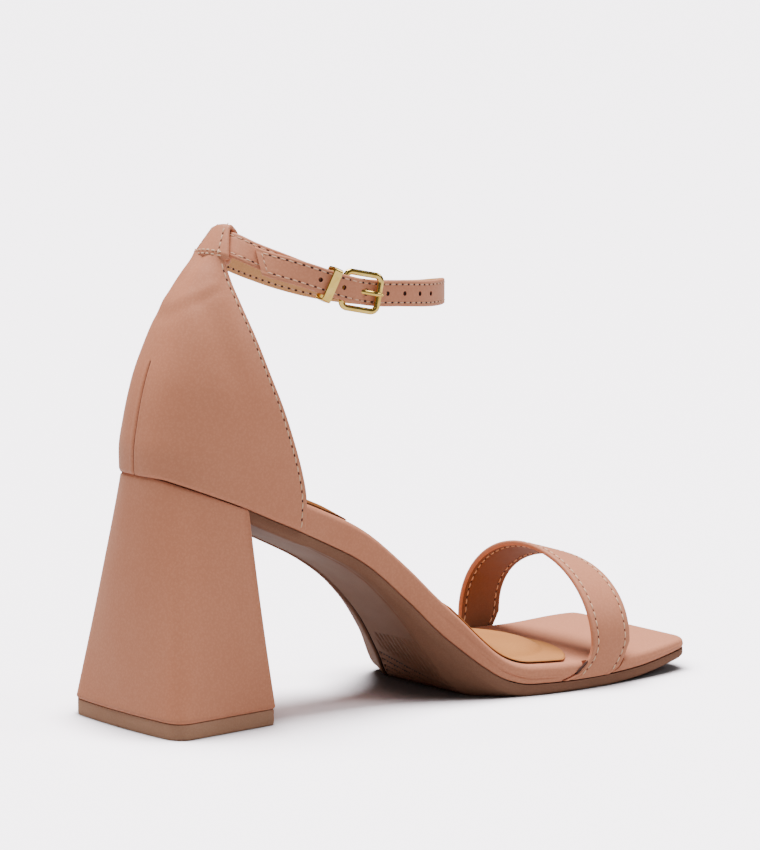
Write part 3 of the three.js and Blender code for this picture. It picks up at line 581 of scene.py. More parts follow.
def gilt():
    """Polished gold metal, with slightly uneven gloss."""
    material, tree, shader = new_material("gilt_metal")
    link = tree.links.new
    clouds = node(tree, "ShaderNodeGroup", node_tree=CLOUDS)
    clouds.inputs["Colour"].default_value = srgb(234, 202, 118)
    clouds.inputs["Deeper"].default_value = srgb(216, 178, 84)
    clouds.inputs["Cloud size"].default_value = 3.0
    link(clouds.outputs["Colour"], shader.inputs["Base Color"])
    shader.inputs["Metallic"].default_value = 1.0
    uneven = node(tree, "ShaderNodeMapRange", {"To Min": 0.07, "To Max": 0.15})
    link(clouds.outputs["Mask"], uneven.inputs["Value"])
    link(uneven.outputs["Result"], shader.inputs["Roughness"])
    return material


def plain(name, colour, rough):
    """Thread, or the painted shade in a groove, seam or hole: one finish, faintly clouded."""
    material, tree, shader = new_material(name)
    clouds = node(tree, "ShaderNodeGroup", node_tree=CLOUDS)
    clouds.inputs["Colour"].default_value = colour
    clouds.inputs["Deeper"].default_value = tuple(0.86 * c for c in colour[:3]) + (1,)
    clouds.inputs["Cloud size"].default_value = 4.0
    tree.links.new(clouds.outputs["Colour"], shader.inputs["Base Color"])
    shader.inputs["Roughness"].default_value = rough
    return material


nude = grained("nude_leather", srgb(206, 138, 108), srgb(202, 133, 103), 0.5, coat=0.02)
lining = grained("tan_lining", srgb(222, 168, 118), srgb(214, 158, 107), 0.55, pore=0.7)
# A darker copy of the tan lining for the inside of the vamp strap: painted shade.
shaded_band_lining = grained("shaded_band_lining", srgb(134, 88, 62), srgb(124, 80, 55), 0.55, pore=0.7)
pad_skin = grained("tan_pad", srgb(200, 136, 80), srgb(190, 125, 70), 0.5, pore=0.6)
# Painted shade inside the outsole's long groove and tread lines.
sole_groove_shade = plain("sole_groove_shade", srgb(66, 42, 33), 0.8)
rubber = {"pore": 0.5, "depth": 0.02, "shine": 0.07}
sole_skin = grained("brown_sole", srgb(134, 97, 78), srgb(126, 89, 71), 0.55, **rubber)
# A lighter copy of the brown rubber for the heel lift: painted light that offsets its shade.
lit_lift_skin = grained("brown_lift_lit", srgb(182, 140, 115), srgb(174, 132, 108), 0.55, **rubber)
gold = gilt()
cotton = plain("peach_thread", srgb(232, 190, 156), 0.7)
toned_cotton = plain("toned_thread", srgb(222, 172, 140), 0.7)
# Painted shade: the dark of the needle holes, of the prong holes' walls and of the nick by the vamp strap.
shade_in_holes = plain("needle_hole_shade", srgb(72, 38, 28), 0.9)
seam_shade = plain("seam_shade", srgb(120, 76, 55), 0.8)


# Footbed and outsole

ROW_STEP = 0.9
TOE_ROWS = 6.0


def sole_rows(first, extra):
    """Places of cross-sections along the shoe, close together at both ends."""
    turn = np.linspace(0.02, math.pi / 2, 34)
    seat = SEAT_END - SEAT_LENGTH * np.cos(turn) ** (2 / SEAT_ROUNDNESS)
    middle = np.arange(SEAT_END + ROW_STEP, TOE_TIP - TOE_ROWS, ROW_STEP)
    front = TOE_TIP - TOE_ROWS * np.cos(np.linspace(0, math.pi / 2, 22)) ** 1.2
    rows = np.unique(np.round(np.concatenate([seat, middle, front, np.array(extra, float)]), 4))
    rows = rows[rows > first]
    return np.concatenate([[first], rows])


def edge_distance(x, y):
    """Rough distance from a point to the nearest edge of the plan outline."""
    near = []
    for side in (-1, 1):
        half = half_at(x, side)
        slope = half_at(x + 0.5, side) - half_at(x - 0.5, side)
        near.append((half - side * y) / np.hypot(1, slope))
    return np.maximum(np.minimum(np.minimum(near[0], near[1]), TOE_TIP - x), 0)


def rolled(distance, radius):
    """How far a rounded edge falls away, a distance in from it."""
    inset = radius - np.minimum(distance, radius)
    return radius - np.sqrt(np.maximum(radius**2 - inset**2, 0))


def slab(x, over_y, under_y, top, bottom, climb, wall_y):
    """Rings of a flat body. over_y and under_y give each row's points on its top and
    underside, and wall_y the sides of its walls at shares of their height."""
    over_x = x[:, None] * np.ones(over_y.shape[1])
    under_x = x[:, None] * np.ones(under_y.shape[1])
    high, low = top(over_x, over_y), bottom(under_x, under_y)
    under = np.stack([under_x, under_y, low], axis=2)[:, ::-1]
    over = np.stack([over_x, over_y, high], axis=2)
    walls = []
    for side, end, shares in ((-1, 0, climb), (1, -1, climb[::-1])):
        wall_x = x[:, None] * np.ones(len(shares))
        z = low[:, end, None] + (high[:, end] - low[:, end])[:, None] * shares
        walls.append(np.stack([wall_x, wall_y(side, wall_x, z, shares), z], axis=2))
    return np.concatenate([under, walls[0], over, walls[1]], axis=1)


VAMP_REAR = VAMP_MIDDLE - VAMP_WIDTH / 2
VAMP_FRONT = VAMP_MIDDLE + VAMP_WIDTH / 2
SLIT_PLAY_REAR = 1.2
SLIT_PLAY_FRONT = 0.4
UNDER_ROLL = 0.7
PIPING_FALL = 0.25


def slit_at(x, z):
    """Depth of the slit in the footbed's side where the vamp strap goes down."""
    share = np.clip((z - underside(VAMP_MIDDLE)) / VAMP_LEG_HEIGHT, 0, 1)
    rear = VAMP_REAR - leg_rear_at(share) * VAMP_WIDTH - SLIT_PLAY_REAR
    front = VAMP_FRONT - leg_front_at(share) * VAMP_WIDTH + SLIT_PLAY_FRONT
    within = ease(x, rear - 0.5, rear + 0.4) * (1 - ease(x, front - 0.3, front + 0.3))
    return (VAMP_SLIT + CLEARANCE) * within


def make_footbed():
    x = sole_rows(SEAT_BACK + 0.3, np.arange(138, 176, 0.4))
    shares = np.sin(np.linspace(-math.pi / 2, math.pi / 2, 54))
    half_out, half_in = half_at(x, -1), half_at(x, 1)
    top_cut = slit_at(x, footbed_top(x) - 1.0)
    low_cut = slit_at(x, underside(x) + 0.5)

    def across(cut):
        return np.where(shares < 0, shares * (half_out - cut)[:, None], shares * (half_in - cut)[:, None])

    def top(x, y):
        distance = edge_distance(x, y)
        radius = np.minimum(FOOTBED_EDGE, (footbed_top(x) - underside(x)) * 0.45)
        return footbed_top(x) - rolled(distance, radius) - PIPING_FALL * (1 - ease(distance, 2, 9))

    def bottom(x, y):
        return underside(x) + rolled(edge_distance(x, y), UNDER_ROLL)

    def wall_y(side, x, z, shares):
        folds = 0.5 * bump(shares + 0.006 * (x - 120), 0.42, 0.07) * bump(x, 122, 17)
        folds += 0.3 * bump(shares - 0.008 * (x - 104), 0.66, 0.06) * bump(x, 106, 14)
        belly = 0.22 * np.sin(math.pi * shares)
        return side * (half_at(x, side) - slit_at(x, z) + belly - folds)

    climb = np.linspace(0, 1, 13)[1:-1]
    rings = slab(x, across(top_cut), across(low_cut), top, bottom, climb, wall_y)
    made = loft("footbed_wrap", rings, [nude], crease=60)
    return dress(made, "nude_leather", "footbed")


# Places and depths of what is moulded into the outsole's underside
GROOVE_INSET = 5.2
GROOVE_DEPTH = 1.7
GROOVE_WIDTH = 0.55
RIDGE_HEIGHT = 0.35
TREAD_LINES = 97.0 + 2.3 * np.arange(4)
TREAD_SLANT = 0.22
TREAD_DEPTH = 1.5
TREAD_WIDTH = 0.55
TICKS_REAR = 90.0
TICKS_FRONT = 94.4
TICKS_OUTSIDE = -21.5
TICK_STEP = 2.5
TICK_DEPTH = 0.7
BEVEL_LINE_DEPTH = 0.6
EDGE_LINE_HEIGHT = 0.35
RIB_STEP = 4.0
RIB_DEPTH = 0.35
SOLE_ROLL = 1.5
# Depth from which a face in a groove takes the painted groove shade
GROOVE_SHADE_FROM = 0.8
BREAST_STEP = 0.7


def shank_share(x):
    """1 along the shank and arch, 0 at the breast and under the ball."""
    return ease(x, 24, 40) * (1 - ease(x, 128, 136))


def sole_levels(x):
    """Heights of the outsole's underside at x: its outer ledge, floor and inner ledge,
    with the widths of its two bevels and the line of the groove inside its inner edge."""
    place = along(x)
    top = underside(x) - seat_gap(x)
    step = BREAST_STEP * (1 - ease(x, 36, 41))
    ledge = np.maximum(top - outer_wall_at(place) * OUTSOLE_THICKNESS - step, 0)
    inner_ledge = np.maximum(top - inner_wall_at(place) * OUTSOLE_THICKNESS, 0)
    floor = np.maximum(np.minimum(ledge - belly_at(place) * SEAT_HEIGHT, inner_ledge), 0)
    bevel_out = 2 + (ledge - floor) * 0.9
    bevel_in = 4.5 + (inner_ledge - floor) * 0.35
    return ledge, floor, inner_ledge, bevel_out, bevel_in, half_at(x, 1) - bevel_in - GROOVE_INSET


def sole_marks(x, y):
    """Depths of the lines cut into the outsole's underside: the long groove, the
    slanted tread lines and the panel of short ticks."""
    place = x[:, 0]
    groove = sole_levels(place)[5][:, None]
    long_groove = GROOVE_DEPTH * shank_share(x) * bump(y, groove, GROOVE_WIDTH)
    slanted = x - TREAD_SLANT * (groove - y)
    tread = np.zeros_like(y)
    for number, line in enumerate(TREAD_LINES):
        reach = ease(y, -20 - 2 * number, -8) * (1 - ease(y, groove - 2.2, groove - 1.4))
        tread += TREAD_DEPTH * bump(slanted, line, TREAD_WIDTH) * reach
    panel = ease(x, TICKS_REAR - 0.4, TICKS_REAR + 0.4)
    panel *= 1 - ease(slanted, TICKS_FRONT - 0.4, TICKS_FRONT + 0.4)
    panel *= ease(y, TICKS_OUTSIDE - 0.5, TICKS_OUTSIDE + 0.5) * (1 - ease(y, groove - 5, groove - 4))
    ticks = TICK_DEPTH * panel * ease(np.cos(2 * math.pi * y / TICK_STEP), 0.2, 0.8)
    return long_groove, tread, ticks


def make_outsole():
    start = HEEL_BREAST_TOP + 4 * CLEARANCE
    x = sole_rows(start, np.arange(86, 122, 0.3))
    out, inn = half_at(x, -1)[:, None], half_at(x, 1)[:, None]
    groove = sole_levels(x)[5][:, None]
    rim = np.array([0, 0.2, 0.45, 0.75, 1.1, 1.5, 2.0, 2.6, 3.3, 4.0])
    middle = np.linspace(0, 1, 84)
    under_y = np.concatenate([
        rim - out,
        (4.6 - out) * (1 - middle) + (groove - 3.3) * middle,
        groove + np.linspace(-2.9, 1.7, 20),
        inn - np.array([2.2, 1.7, 1.2, 0.8, 0.5, 0.25, 0]),
    ], axis=1)
    shares = np.linspace(-1, 1, 30)
    over_y = shares * np.where(shares < 0, out, inn)

    def bottom(x, y):
        ledge, floor, inner_ledge, bevel_out, bevel_in, groove = (part[:, :1] for part in sole_levels(x))
        out, inn = half_at(x[:, :1], -1), half_at(x[:, :1], 1)
        low = np.zeros_like(y)
        for row in range(len(y)):
            edges = np.array([
                0.4 - out[row, 0], bevel_out[row, 0] * 0.55 - out[row, 0], bevel_out[row, 0] - out[row, 0],
                inn[row, 0] - bevel_in[row, 0] - 1.5, inn[row, 0] - bevel_in[row, 0], inn[row, 0] - 0.4,
            ])
            heights = np.array([
                ledge[row, 0], floor[row, 0] * 0.6 + ledge[row, 0] * 0.4, floor[row, 0],
                floor[row, 0], floor[row, 0] * 0.35 + inner_ledge[row, 0] * 0.65, inner_ledge[row, 0],
            ])
            for shift in (-0.6, -0.3, 0, 0.3, 0.6):
                low[row] += np.interp(y[row] + shift, edges, heights) / 5
        distance = edge_distance(x, y)
        low += sum(sole_marks(x, y))
        low -= RIDGE_HEIGHT * shank_share(x) * bump(y, groove + 1.5, 0.8)
        low += BEVEL_LINE_DEPTH * bump(y + out, bevel_out + 0.6, 0.4) * (1 - ease(x, 118, 132))
        low -= EDGE_LINE_HEIGHT * bump(y + out, 0.8, 0.45) * (1 - ease(x, 118, 140))
        ribs = ease(x, 134, 140) * (1 - ease(x, 190, 196)) * ease(distance, 6, 9)
        low += RIB_DEPTH * ribs * ease(np.cos(2 * math.pi * x / RIB_STEP), 0.2, 0.75)
        return np.maximum(low + rolled(distance, SOLE_ROLL), 0)

    def top(x, y):
        return underside(x) - seat_gap(x)

    def wall_y(side, x, z, shares):
        return side * (half_at(x, side) - 0.12 * bump(shares, 0.82, 0.12))

    climb = np.linspace(0, 1, 9)[1:-1]
    rings = slab(x, over_y, under_y, top, bottom, climb, wall_y)
    made = loft("outsole_shell", rings, [sole_skin, sole_groove_shade], crease=48)
    # Faces deep in the long groove and the tread lines take the darker brown: painted shade in the grooves.
    centres = np.array([face.center[:] for face in made.data.polygons]) / MM
    below = np.array([face.normal.z < 0 for face in made.data.polygons])
    long_groove, tread, _ = sole_marks(centres[:, :1], centres[:, 1:2])
    cut = np.maximum(long_groove, tread)[:, 0] > GROOVE_SHADE_FROM
    for face, dark in zip(made.data.polygons, below & cut):
        if dark:
            face.material_index = 1
    return dress(made, "brown_rubber", "outsole")


# Heel

def even_outline(points, count):
    """The same open outline with its points at even steps."""
    points = np.asarray(points, float)
    run = np.concatenate([[0], np.cumsum(np.linalg.norm(np.diff(points, axis=0), axis=1))])
    at = np.linspace(0, run[-1], count)
    return np.stack([np.interp(at, run, points[:, 0]), np.interp(at, run, points[:, 1])], axis=1)


HEEL_STEPS = 80
HEEL_WAIST = 0.35
HEEL_FOOT_SWELL = 0.5
HEEL_TOP_LIP = 0.45
HEEL_FOOT_LIP = 0.55
BREAST_HOLLOW = 1.2
LIFT_EDGE = (
    (0, 0.55), (0.04, 0.3), (0.1, 0.18), (0.5, 0.15), (0.93, 0.15), (0.98, 0.22), (1, 0.45),
)


def heel_top():
    """Half of the heel's outline under the seat, from its back to its breast."""
    angle = np.linspace(0, math.pi / 2, 400)
    length = SEAT_LENGTH + COUNTER_OUT - HEEL_OVERLAP
    half = SEAT_HALF_WIDTH + COUNTER_OUT - HEEL_OVERLAP
    x = SEAT_END - length * np.cos(angle) ** (2 / SEAT_ROUNDNESS)
    y = half * np.sin(angle) ** (2 / SEAT_ROUNDNESS)
    kept = x < HEEL_BREAST_TOP - 0.5
    points = np.stack([x[kept], y[kept]], axis=1)
    return even_outline(np.vstack([points, [HEEL_BREAST_TOP, half]]), HEEL_STEPS)


def heel_foot():
    """Half of the heel's outline at its foot, from its back to its breast."""
    rear, front, corner = -HEEL_FOOT_LENGTH / 2, HEEL_FOOT_LENGTH / 2, HEEL_FOOT_CORNER
    slope = math.atan2(HEEL_FOOT_REAR_HALF - HEEL_FOOT_FRONT_HALF, HEEL_FOOT_LENGTH)
    points = []
    for share in np.linspace(0, 1, 30)[:-1]:
        points.append((rear + HEEL_FOOT_BOW * share**2, (HEEL_FOOT_REAR_HALF - corner) * share))
    for angle in np.linspace(0, math.pi / 2 - slope, 30):
        points.append((
            rear + HEEL_FOOT_BOW + corner * (1 - math.cos(angle)),
            HEEL_FOOT_REAR_HALF - corner + corner * math.sin(angle),
        ))
    points.append((front, HEEL_FOOT_FRONT_HALF))
    return even_outline(points, HEEL_STEPS)


def heel_ring(half_outline, height, inset, breast):
    """A ring round the heel, with a rounded corner and a shallow hollow at the breast."""
    near = [(x, -y) for x, y in half_outline]
    far = [(x, y) for x, y in half_outline]
    front = half_outline[-1]
    across = np.linspace(-1, 1, 60)[1:-1]
    middle = [(front[0] - breast * (1 - share**4), share * front[1]) for share in across]
    ring = np.array(near + middle + far[::-1][:-1])
    for _ in range(2):
        ring = 0.25 * np.roll(ring, 1, axis=0) + 0.5 * ring + 0.25 * np.roll(ring, -1, axis=0)
    centre = ring.mean(axis=0)
    toward = centre - ring
    toward /= np.maximum(np.linalg.norm(toward, axis=1, keepdims=True), 1e-9)
    ring = ring + toward * inset
    return np.column_stack([ring, height(ring[:, 0])])


def capped(name, rings, materials, crease):
    """A closed body with a flat face over each end ring."""
    rings = np.asarray(rings, float)
    rows, columns = rings.shape[:2]
    faces = grid_faces(rows, columns, True)
    faces.append(tuple(range(columns - 1, -1, -1)))
    faces.append(tuple((rows - 1) * columns + place for place in range(columns)))
    return make_mesh(name, rings, faces, materials, crease=crease)


def make_heel():
    top, foot = heel_top(), heel_foot()
    low = LIFT_THICKNESS + CLEARANCE
    shares = np.concatenate([
        [0, 0.002, 0.005, 0.01], np.linspace(0.02, 0.98, 60), [0.99, 0.995, 0.998, 1],
    ])
    rings = []
    for share in shares:
        outline = foot + (top - foot) * share
        waist = HEEL_WAIST * math.sin(math.pi * share) - HEEL_FOOT_SWELL * (1 - share)
        lip = HEEL_FOOT_LIP * (1 - ease(share, 0, 0.01)) + HEEL_TOP_LIP * ease(share, 0.992, 1)

        def height(x):
            limit = np.clip(x, SEAT_BACK - COUNTER_OUT, HEEL_BREAST_TOP)
            return low + (underside(limit) - seat_gap(limit) - low) * share

        rings.append(heel_ring(outline, height, waist + lip, BREAST_HOLLOW))
    made = capped("heel_cover", rings, [nude], crease=50)
    return dress(made, "nude_leather", "heel_block")


def make_lift():
    foot = heel_foot()
    rings = []
    for share, inset in LIFT_EDGE:
        rings.append(heel_ring(foot, lambda x: np.full_like(x, LIFT_THICKNESS * share), inset, 0.0))
    made = capped("heel_lift_rubber", rings, [lit_lift_skin], crease=45)
    return dress(made, "brown_rubber", "heel_lift")


# Counter with its strap tunnel

def round_shares(angle, roundness):
    power = 2 / roundness
    return np.maximum(np.cos(angle), 0) ** power, np.maximum(np.sin(angle), 0) ** power


def counter_point(up, angle, wall):
    lengthways, sideways = round_shares(np.abs(angle), counter_round_at(up))
    front = SEAT_BACK + counter_front_at(up) * SEAT_LENGTH
    back = SEAT_BACK + counter_back_at(up) * SEAT_LENGTH - COUNTER_OUT + wall
    half = counter_half_at(up) * SEAT_HALF_WIDTH + COUNTER_OUT - wall
    x = front - (front - back) * lengthways
    y = np.sign(angle) * half * sideways
    foot_lengthways = round_shares(np.abs(angle), counter_round_at(np.zeros_like(up)))[0]
    foot_x = SEAT_END - (SEAT_LENGTH + COUNTER_OUT) * foot_lengthways
    climb = COUNTER_HEIGHT * (COUNTER_SIDE_CLIMB + (1 - COUNTER_SIDE_CLIMB) * foot_lengthways)
    z = underside(np.maximum(foot_x, SEAT_BACK)) + up * climb
    return np.stack([x, y, z], axis=-1)


RIM_ZONE = 6.0
SEAM_ZONE = 4.0
RIM_ROUND = 0.75
EDGE_STITCH = 1.55
EDGE_PRESS = 0.2
SEAM_HEIGHT = 39.5
SEAM_DEPTH = 0.8
SEAM_WIDTH = 0.34
SEAM_LIPS = 0.16
SEAM_SHADE = 0.3
CREASE_HEIGHT = 59.0
CREASE_RIDGE = 0.16
CREASE_TROUGH = 0.2
SIDE_HOLLOW = 0.55
FOOT_TUCK = 0.45


def counter_half_run(up):
    """Angles from the back seam to the front edge, and the way run to each."""
    share = np.linspace(0, 1, 900)
    angle = math.pi / 2 * share * share * (3 - 2 * share)
    points = counter_point(np.full_like(angle, up), angle, 0.0)
    steps = np.linalg.norm(np.diff(points, axis=0), axis=1)
    return angle, np.concatenate([[0], np.cumsum(steps)])


def counter_row(up):
    """One row round the counter: angles, distances from the back and from the edge.
    The points lie close together along the edge and beside the back seam."""
    angle, run = counter_half_run(up)
    length = run[-1]
    rim, seam = min(RIM_ZONE, 0.42 * length), min(SEAM_ZONE, 0.38 * length)
    places = np.concatenate([
        np.linspace(0, seam, 15),
        np.linspace(seam, length - rim, 50)[1:-1],
        np.linspace(length - rim, length, 19),
    ])
    half = np.interp(places, run, angle)
    both = np.concatenate([-half[:0:-1], half])
    return both, np.concatenate([-places[:0:-1], places]), length - np.concatenate([places[:0:-1], places])


def counter_relief(up, back, distance):
    """Folds of the counter: pressed stitch line, plump edge, back seam, soft creases."""
    height = up * COUNTER_HEIGHT
    relief = -EDGE_PRESS * bump(distance, EDGE_STITCH, 0.5)
    seam = 1 - ease(height, SEAM_HEIGHT - 2, SEAM_HEIGHT + 1)
    relief -= SEAM_DEPTH * seam * bump(back, 0, SEAM_WIDTH)
    relief += SEAM_LIPS * seam * bump(np.abs(back), 1.3, 0.8)
    relief -= 0.12 * (1 - ease(height, SEAM_HEIGHT - 2, SEAM_HEIGHT + 9)) * bump(back, 0, 3.5)
    arc = height - CREASE_HEIGHT - 0.02 * (back - 6) ** 2
    relief += CREASE_RIDGE * bump(arc, 0, 2.2) * ease(distance, 3, 9)
    relief -= CREASE_TROUGH * bump(arc, -5, 2.6) * ease(distance, 3, 9)
    lean = distance - 15 - 0.1 * (60 - height)
    relief -= SIDE_HOLLOW * bump(lean, 0, 6) * ease(height, 22, 45) * (1 - ease(height, 58, 70))
    relief -= FOOT_TUCK * (1 - ease(height, 0, 1.1))
    return relief


def make_counter():
    """The closed-back quarter: outer leather, lining, and a round edge between them."""
    levels = np.linspace(0, 1, 170)
    rows = [counter_row(level) for level in levels]
    angle = np.stack([row[0] for row in rows])
    back = np.stack([row[1] for row in rows])
    distance = np.stack([row[2] for row in rows])
    up = levels[:, None] * np.ones(angle.shape[1])
    outer = counter_point(up, angle, 0.0)
    normals = grid_normals(outer)
    normals *= np.sign(((outer - np.array([20.0, 0, 120])) * normals).sum(axis=2).mean())
    outer = outer + normals * counter_relief(up, back, distance)[:, :, None]
    inner = counter_point(up, angle, COUNTER_WALL)[:, ::-1]
    rounds = []
    for first, second in ((outer[:, -1], inner[:, 0]), (inner[:, -1], outer[:, 0])):
        middle, reach = (first + second) / 2, (first - second) / 2
        arc = [
            middle + reach * math.cos(turn) + np.array([RIM_ROUND, 0, 0]) * math.sin(turn)
            for turn in np.linspace(0, math.pi, 9)[1:-1]
        ]
        rounds.append(np.stack(arc, axis=1))
    rings = np.concatenate([outer, rounds[0], inner, rounds[1]], axis=1)
    kinds = np.zeros(rings.shape[1], int)
    first = outer.shape[1] + rounds[0].shape[1]
    kinds[first : first + inner.shape[1] - 1] = 1
    made = loft("counter_shell", rings, [nude, lining, seam_shade], list(kinds), crease=70)
    seam_top = (outer[0, :, 2].max() + SEAM_HEIGHT) * MM
    for face in made.data.polygons:
        place = face.center
        if abs(place.y) < SEAM_SHADE * MM and place.x < 0 and face.normal.x < -0.3 and place.z < seam_top:
            face.material_index = 2
    return dress(made, "nude_leather", "counter")


def counter_line(up, distance, side):
    """Points and outward normals on the counter, at a distance behind its front edge."""
    angle = []
    for level in up:
        turns, run = counter_half_run(level)
        angle.append(side * np.interp(run[-1] - distance, run, turns))
    angle = np.array(angle)
    here = counter_point(up, angle, 0.0)
    further = counter_point(up, angle - side * 0.02, 0.0) - here
    higher = counter_point(up + 0.01, angle, 0.0) - here
    normal = np.cross(further, higher)
    normal /= np.linalg.norm(normal, axis=1, keepdims=True)
    return here, normal * np.sign(normal[:, 1:2] * side)


def counter_stitches():
    rows = []
    for side in (-1, 1):
        line, away = counter_line(np.linspace(0.006, 0.965, 150), EDGE_STITCH, side)
        stitch_row(rows, line - away * 0.16, away, *COUNTER_SEAM, slant=0.12 * side)
    thread("counter_thread", rows, cotton, "nude_leather")
    hole_shade_discs("counter_stitch_hole_shade", rows, shade_in_holes, "nude_leather", 0.46)


ANKLE_MIDDLE = SEAT_BACK + COUNTER["back"][-1] * SEAT_LENGTH + TAB_FORWARD + ANKLE_HALF_LENGTH


def ankle_point(turn, outwards, upwards):
    """A point on or near the ankle strap's middle line; its section leans at the back."""
    cos, sin = np.cos(turn), np.sin(turn)
    normal = np.stack([cos * ANKLE_HALF_WIDTH, -sin * ANKLE_HALF_LENGTH], axis=-1)
    normal /= np.linalg.norm(normal, axis=-1, keepdims=True)
    lean = ANKLE_LEAN * np.maximum(-cos, 0) ** 2
    reach = outwards * np.cos(lean) - upwards * np.sin(lean)
    lift = upwards * np.cos(lean) + outwards * np.sin(lean)
    down = ANKLE_DROP * ankle_down_at(np.degrees(np.arctan2(sin, cos)))
    return np.stack([
        ANKLE_MIDDLE + ANKLE_HALF_LENGTH * cos + normal[..., 0] * reach,
        -ANKLE_HALF_WIDTH * sin + normal[..., 1] * reach,
        SEAT_HEIGHT + ANKLE_CLIMB - down + lift,
    ], axis=-1)


TAB_ROLL = 0.12
TAB_STITCH = 0.66
CROSS_SEAM_LEVELS = (-4.9, -6.1)


def tab_outline(grow, count=48):
    """The tunnel's ring in outwards and upwards, deeper on the ankle's side."""
    side, high = STRAP_WALL / 2 + TAB_GAP + grow, STRAP_WIDTH / 2 + TAB_GAP + grow
    corner = min(side, high) * 0.8
    angle = np.linspace(0, 2 * math.pi, count, endpoint=False) + math.pi / count
    across = np.sign(np.cos(angle)) * (side - corner) + corner * np.cos(angle)
    upwards = np.sign(np.sin(angle)) * (high - corner) + corner * np.sin(angle)
    across = np.where(across < 0, across * TAB_INNER_DEPTH, across)
    return across, upwards


def tab_turn(width, across, upwards):
    """Place round the ankle for a share of the tunnel's half width. The tunnel is
    wider where it runs down into the counter."""
    flare = TAB_FLARE * ease(-upwards, -3, 5.5) * ease(across, 0, 1.5)
    return math.pi + np.arcsin(width * (TAB_HALF_WIDTH + flare) / ANKLE_HALF_WIDTH)


def make_tab():
    """The tunnel for the strap: a band from the counter's top, over and back inside."""
    columns = []
    widths = np.concatenate([[-1, -0.985, -0.95], np.linspace(-0.9, 0.9, 25), [0.95, 0.985, 1]])
    for width in widths:
        fall = 0.5 * edge_roll(1 - abs(width), TAB_ROLL)
        press = 0.16 * bump(abs(width), TAB_STITCH, 0.09)
        grow = TAB_WALL * (1 - fall) - press
        across, upwards = tab_outline(grow)
        columns.append(ankle_point(tab_turn(width, across, upwards), across, upwards))
    inside = []
    for width in widths[::-1]:
        fall = 0.45 * edge_roll(1 - abs(width), TAB_ROLL)
        across, upwards = tab_outline(TAB_WALL * fall)
        inside.append(ankle_point(tab_turn(width, across, upwards), across, upwards))
    rings = np.stack(columns + inside, axis=1)
    made = make_mesh("strap_tunnel", rings, ring_faces(*rings.shape[:2]), [nude], crease=70)
    dress(made, "nude_leather", "counter")
    tunnel_stitches()


def tunnel_stitches():
    """A seam along each side of the tunnel, and two across its foot."""
    rows = []
    count = 720
    outline = tab_outline(TAB_WALL - 0.14, count)
    around = np.linspace(0, 2 * math.pi, count, endpoint=False) + math.pi / count
    around = np.where(around > math.pi, around - 2 * math.pi, around)
    order = np.argsort(around)
    for width in (-TAB_STITCH, TAB_STITCH):
        angle = np.linspace(-0.75, 1.5, 60)
        across = np.interp(angle, around[order], outline[0][order])
        upwards = np.interp(angle, around[order], outline[1][order])
        turn = tab_turn(width, across, upwards)
        line = ankle_point(turn, across, upwards)
        further = ankle_point(turn, across + 0.5 * np.cos(angle), upwards + 0.5 * np.sin(angle))
        stitch_row(rows, line, further - line, *TUNNEL_SEAM)
    side, high = STRAP_WALL / 2 + TAB_GAP + TAB_WALL, STRAP_WIDTH / 2 + TAB_GAP + TAB_WALL
    corner = 0.8 * side
    for level in CROSS_SEAM_LEVELS:
        width = np.linspace(-0.8, 0.8, 40)
        sunk = min(max((corner - high - level) / corner, 0), 1)
        across = np.full(40, side - corner + corner * math.sqrt(1 - sunk**2))
        upwards = np.full(40, level)
        turn = tab_turn(width, across, upwards)
        line = ankle_point(turn, across - 0.1, upwards)
        stitch_row(rows, line, ankle_point(turn, across + 0.4, upwards) - line, *CROSS_SEAM)
    thread("tunnel_thread", rows, cotton, "nude_leather")
    hole_shade_discs("tunnel_stitch_hole_shade", rows, shade_in_holes, "nude_leather", 0.36)


# Vamp strap

def vamp_edge(place, rear):
    """One edge of the vamp strap at a place from -2 to 2: point and outward normal."""
    side = np.where(place < 0, -1.0, 1.0)
    leg = np.abs(place) > 1
    height = np.where(leg, 2 - np.abs(place), 1.0)
    trail = (leg_rear_at if rear else leg_front_at)(height) * VAMP_WIDTH
    x = (VAMP_REAR if rear else VAMP_FRONT) - trail
    rise = VAMP_REAR_RISE if rear else VAMP_FRONT_RISE
    roundness = 2.0 if rear else 2.2
    half = np.where(place < 0, half_at(x, -1), half_at(x, 1))
    reach = half - VAMP_SLIT + CLEARANCE + VAMP_WALL
    foot = underside(np.array(VAMP_MIDDLE))
    leg_top = foot + VAMP_LEG_HEIGHT
    turn = np.clip(1 - np.abs(place), 0, 1) * math.pi / 2
    lengthways, sideways = round_shares(turn, roundness)
    y = np.where(leg, side * reach, side * reach * lengthways)
    z = np.where(leg, foot + height * VAMP_LEG_HEIGHT, leg_top + (rise - leg_top) * sideways)
    out_y = np.where(leg, side, side * lengthways ** (roundness - 1) / reach)
    out_z = np.where(leg, 0, sideways ** (roundness - 1) / (rise - leg_top))
    size = np.hypot(out_y, out_z)
    return np.stack([x, y, z], axis=-1), np.stack([0 * x, out_y / size, out_z / size], axis=-1)


VAMP_PLACES = np.concatenate([
    np.linspace(-2, -1, 30)[:-1],
    np.linspace(-1, 1, 150),
    np.linspace(1, 2, 30)[1:],
])
VAMP_STITCH = 2.7


def vamp_surface(shares, depth):
    """Points on the strap: shares run from the rear edge to the front one."""
    rear, rear_out = vamp_edge(VAMP_PLACES, True)
    front, front_out = vamp_edge(VAMP_PLACES, False)
    shares = np.asarray(shares)[None, :, None]
    line = rear[:, None] * (1 - shares) + front[:, None] * shares
    out = rear_out[:, None] * (1 - shares) + front_out[:, None] * shares
    out /= np.linalg.norm(out, axis=2, keepdims=True)
    return line - out * np.asarray(depth)[None, :, None], out


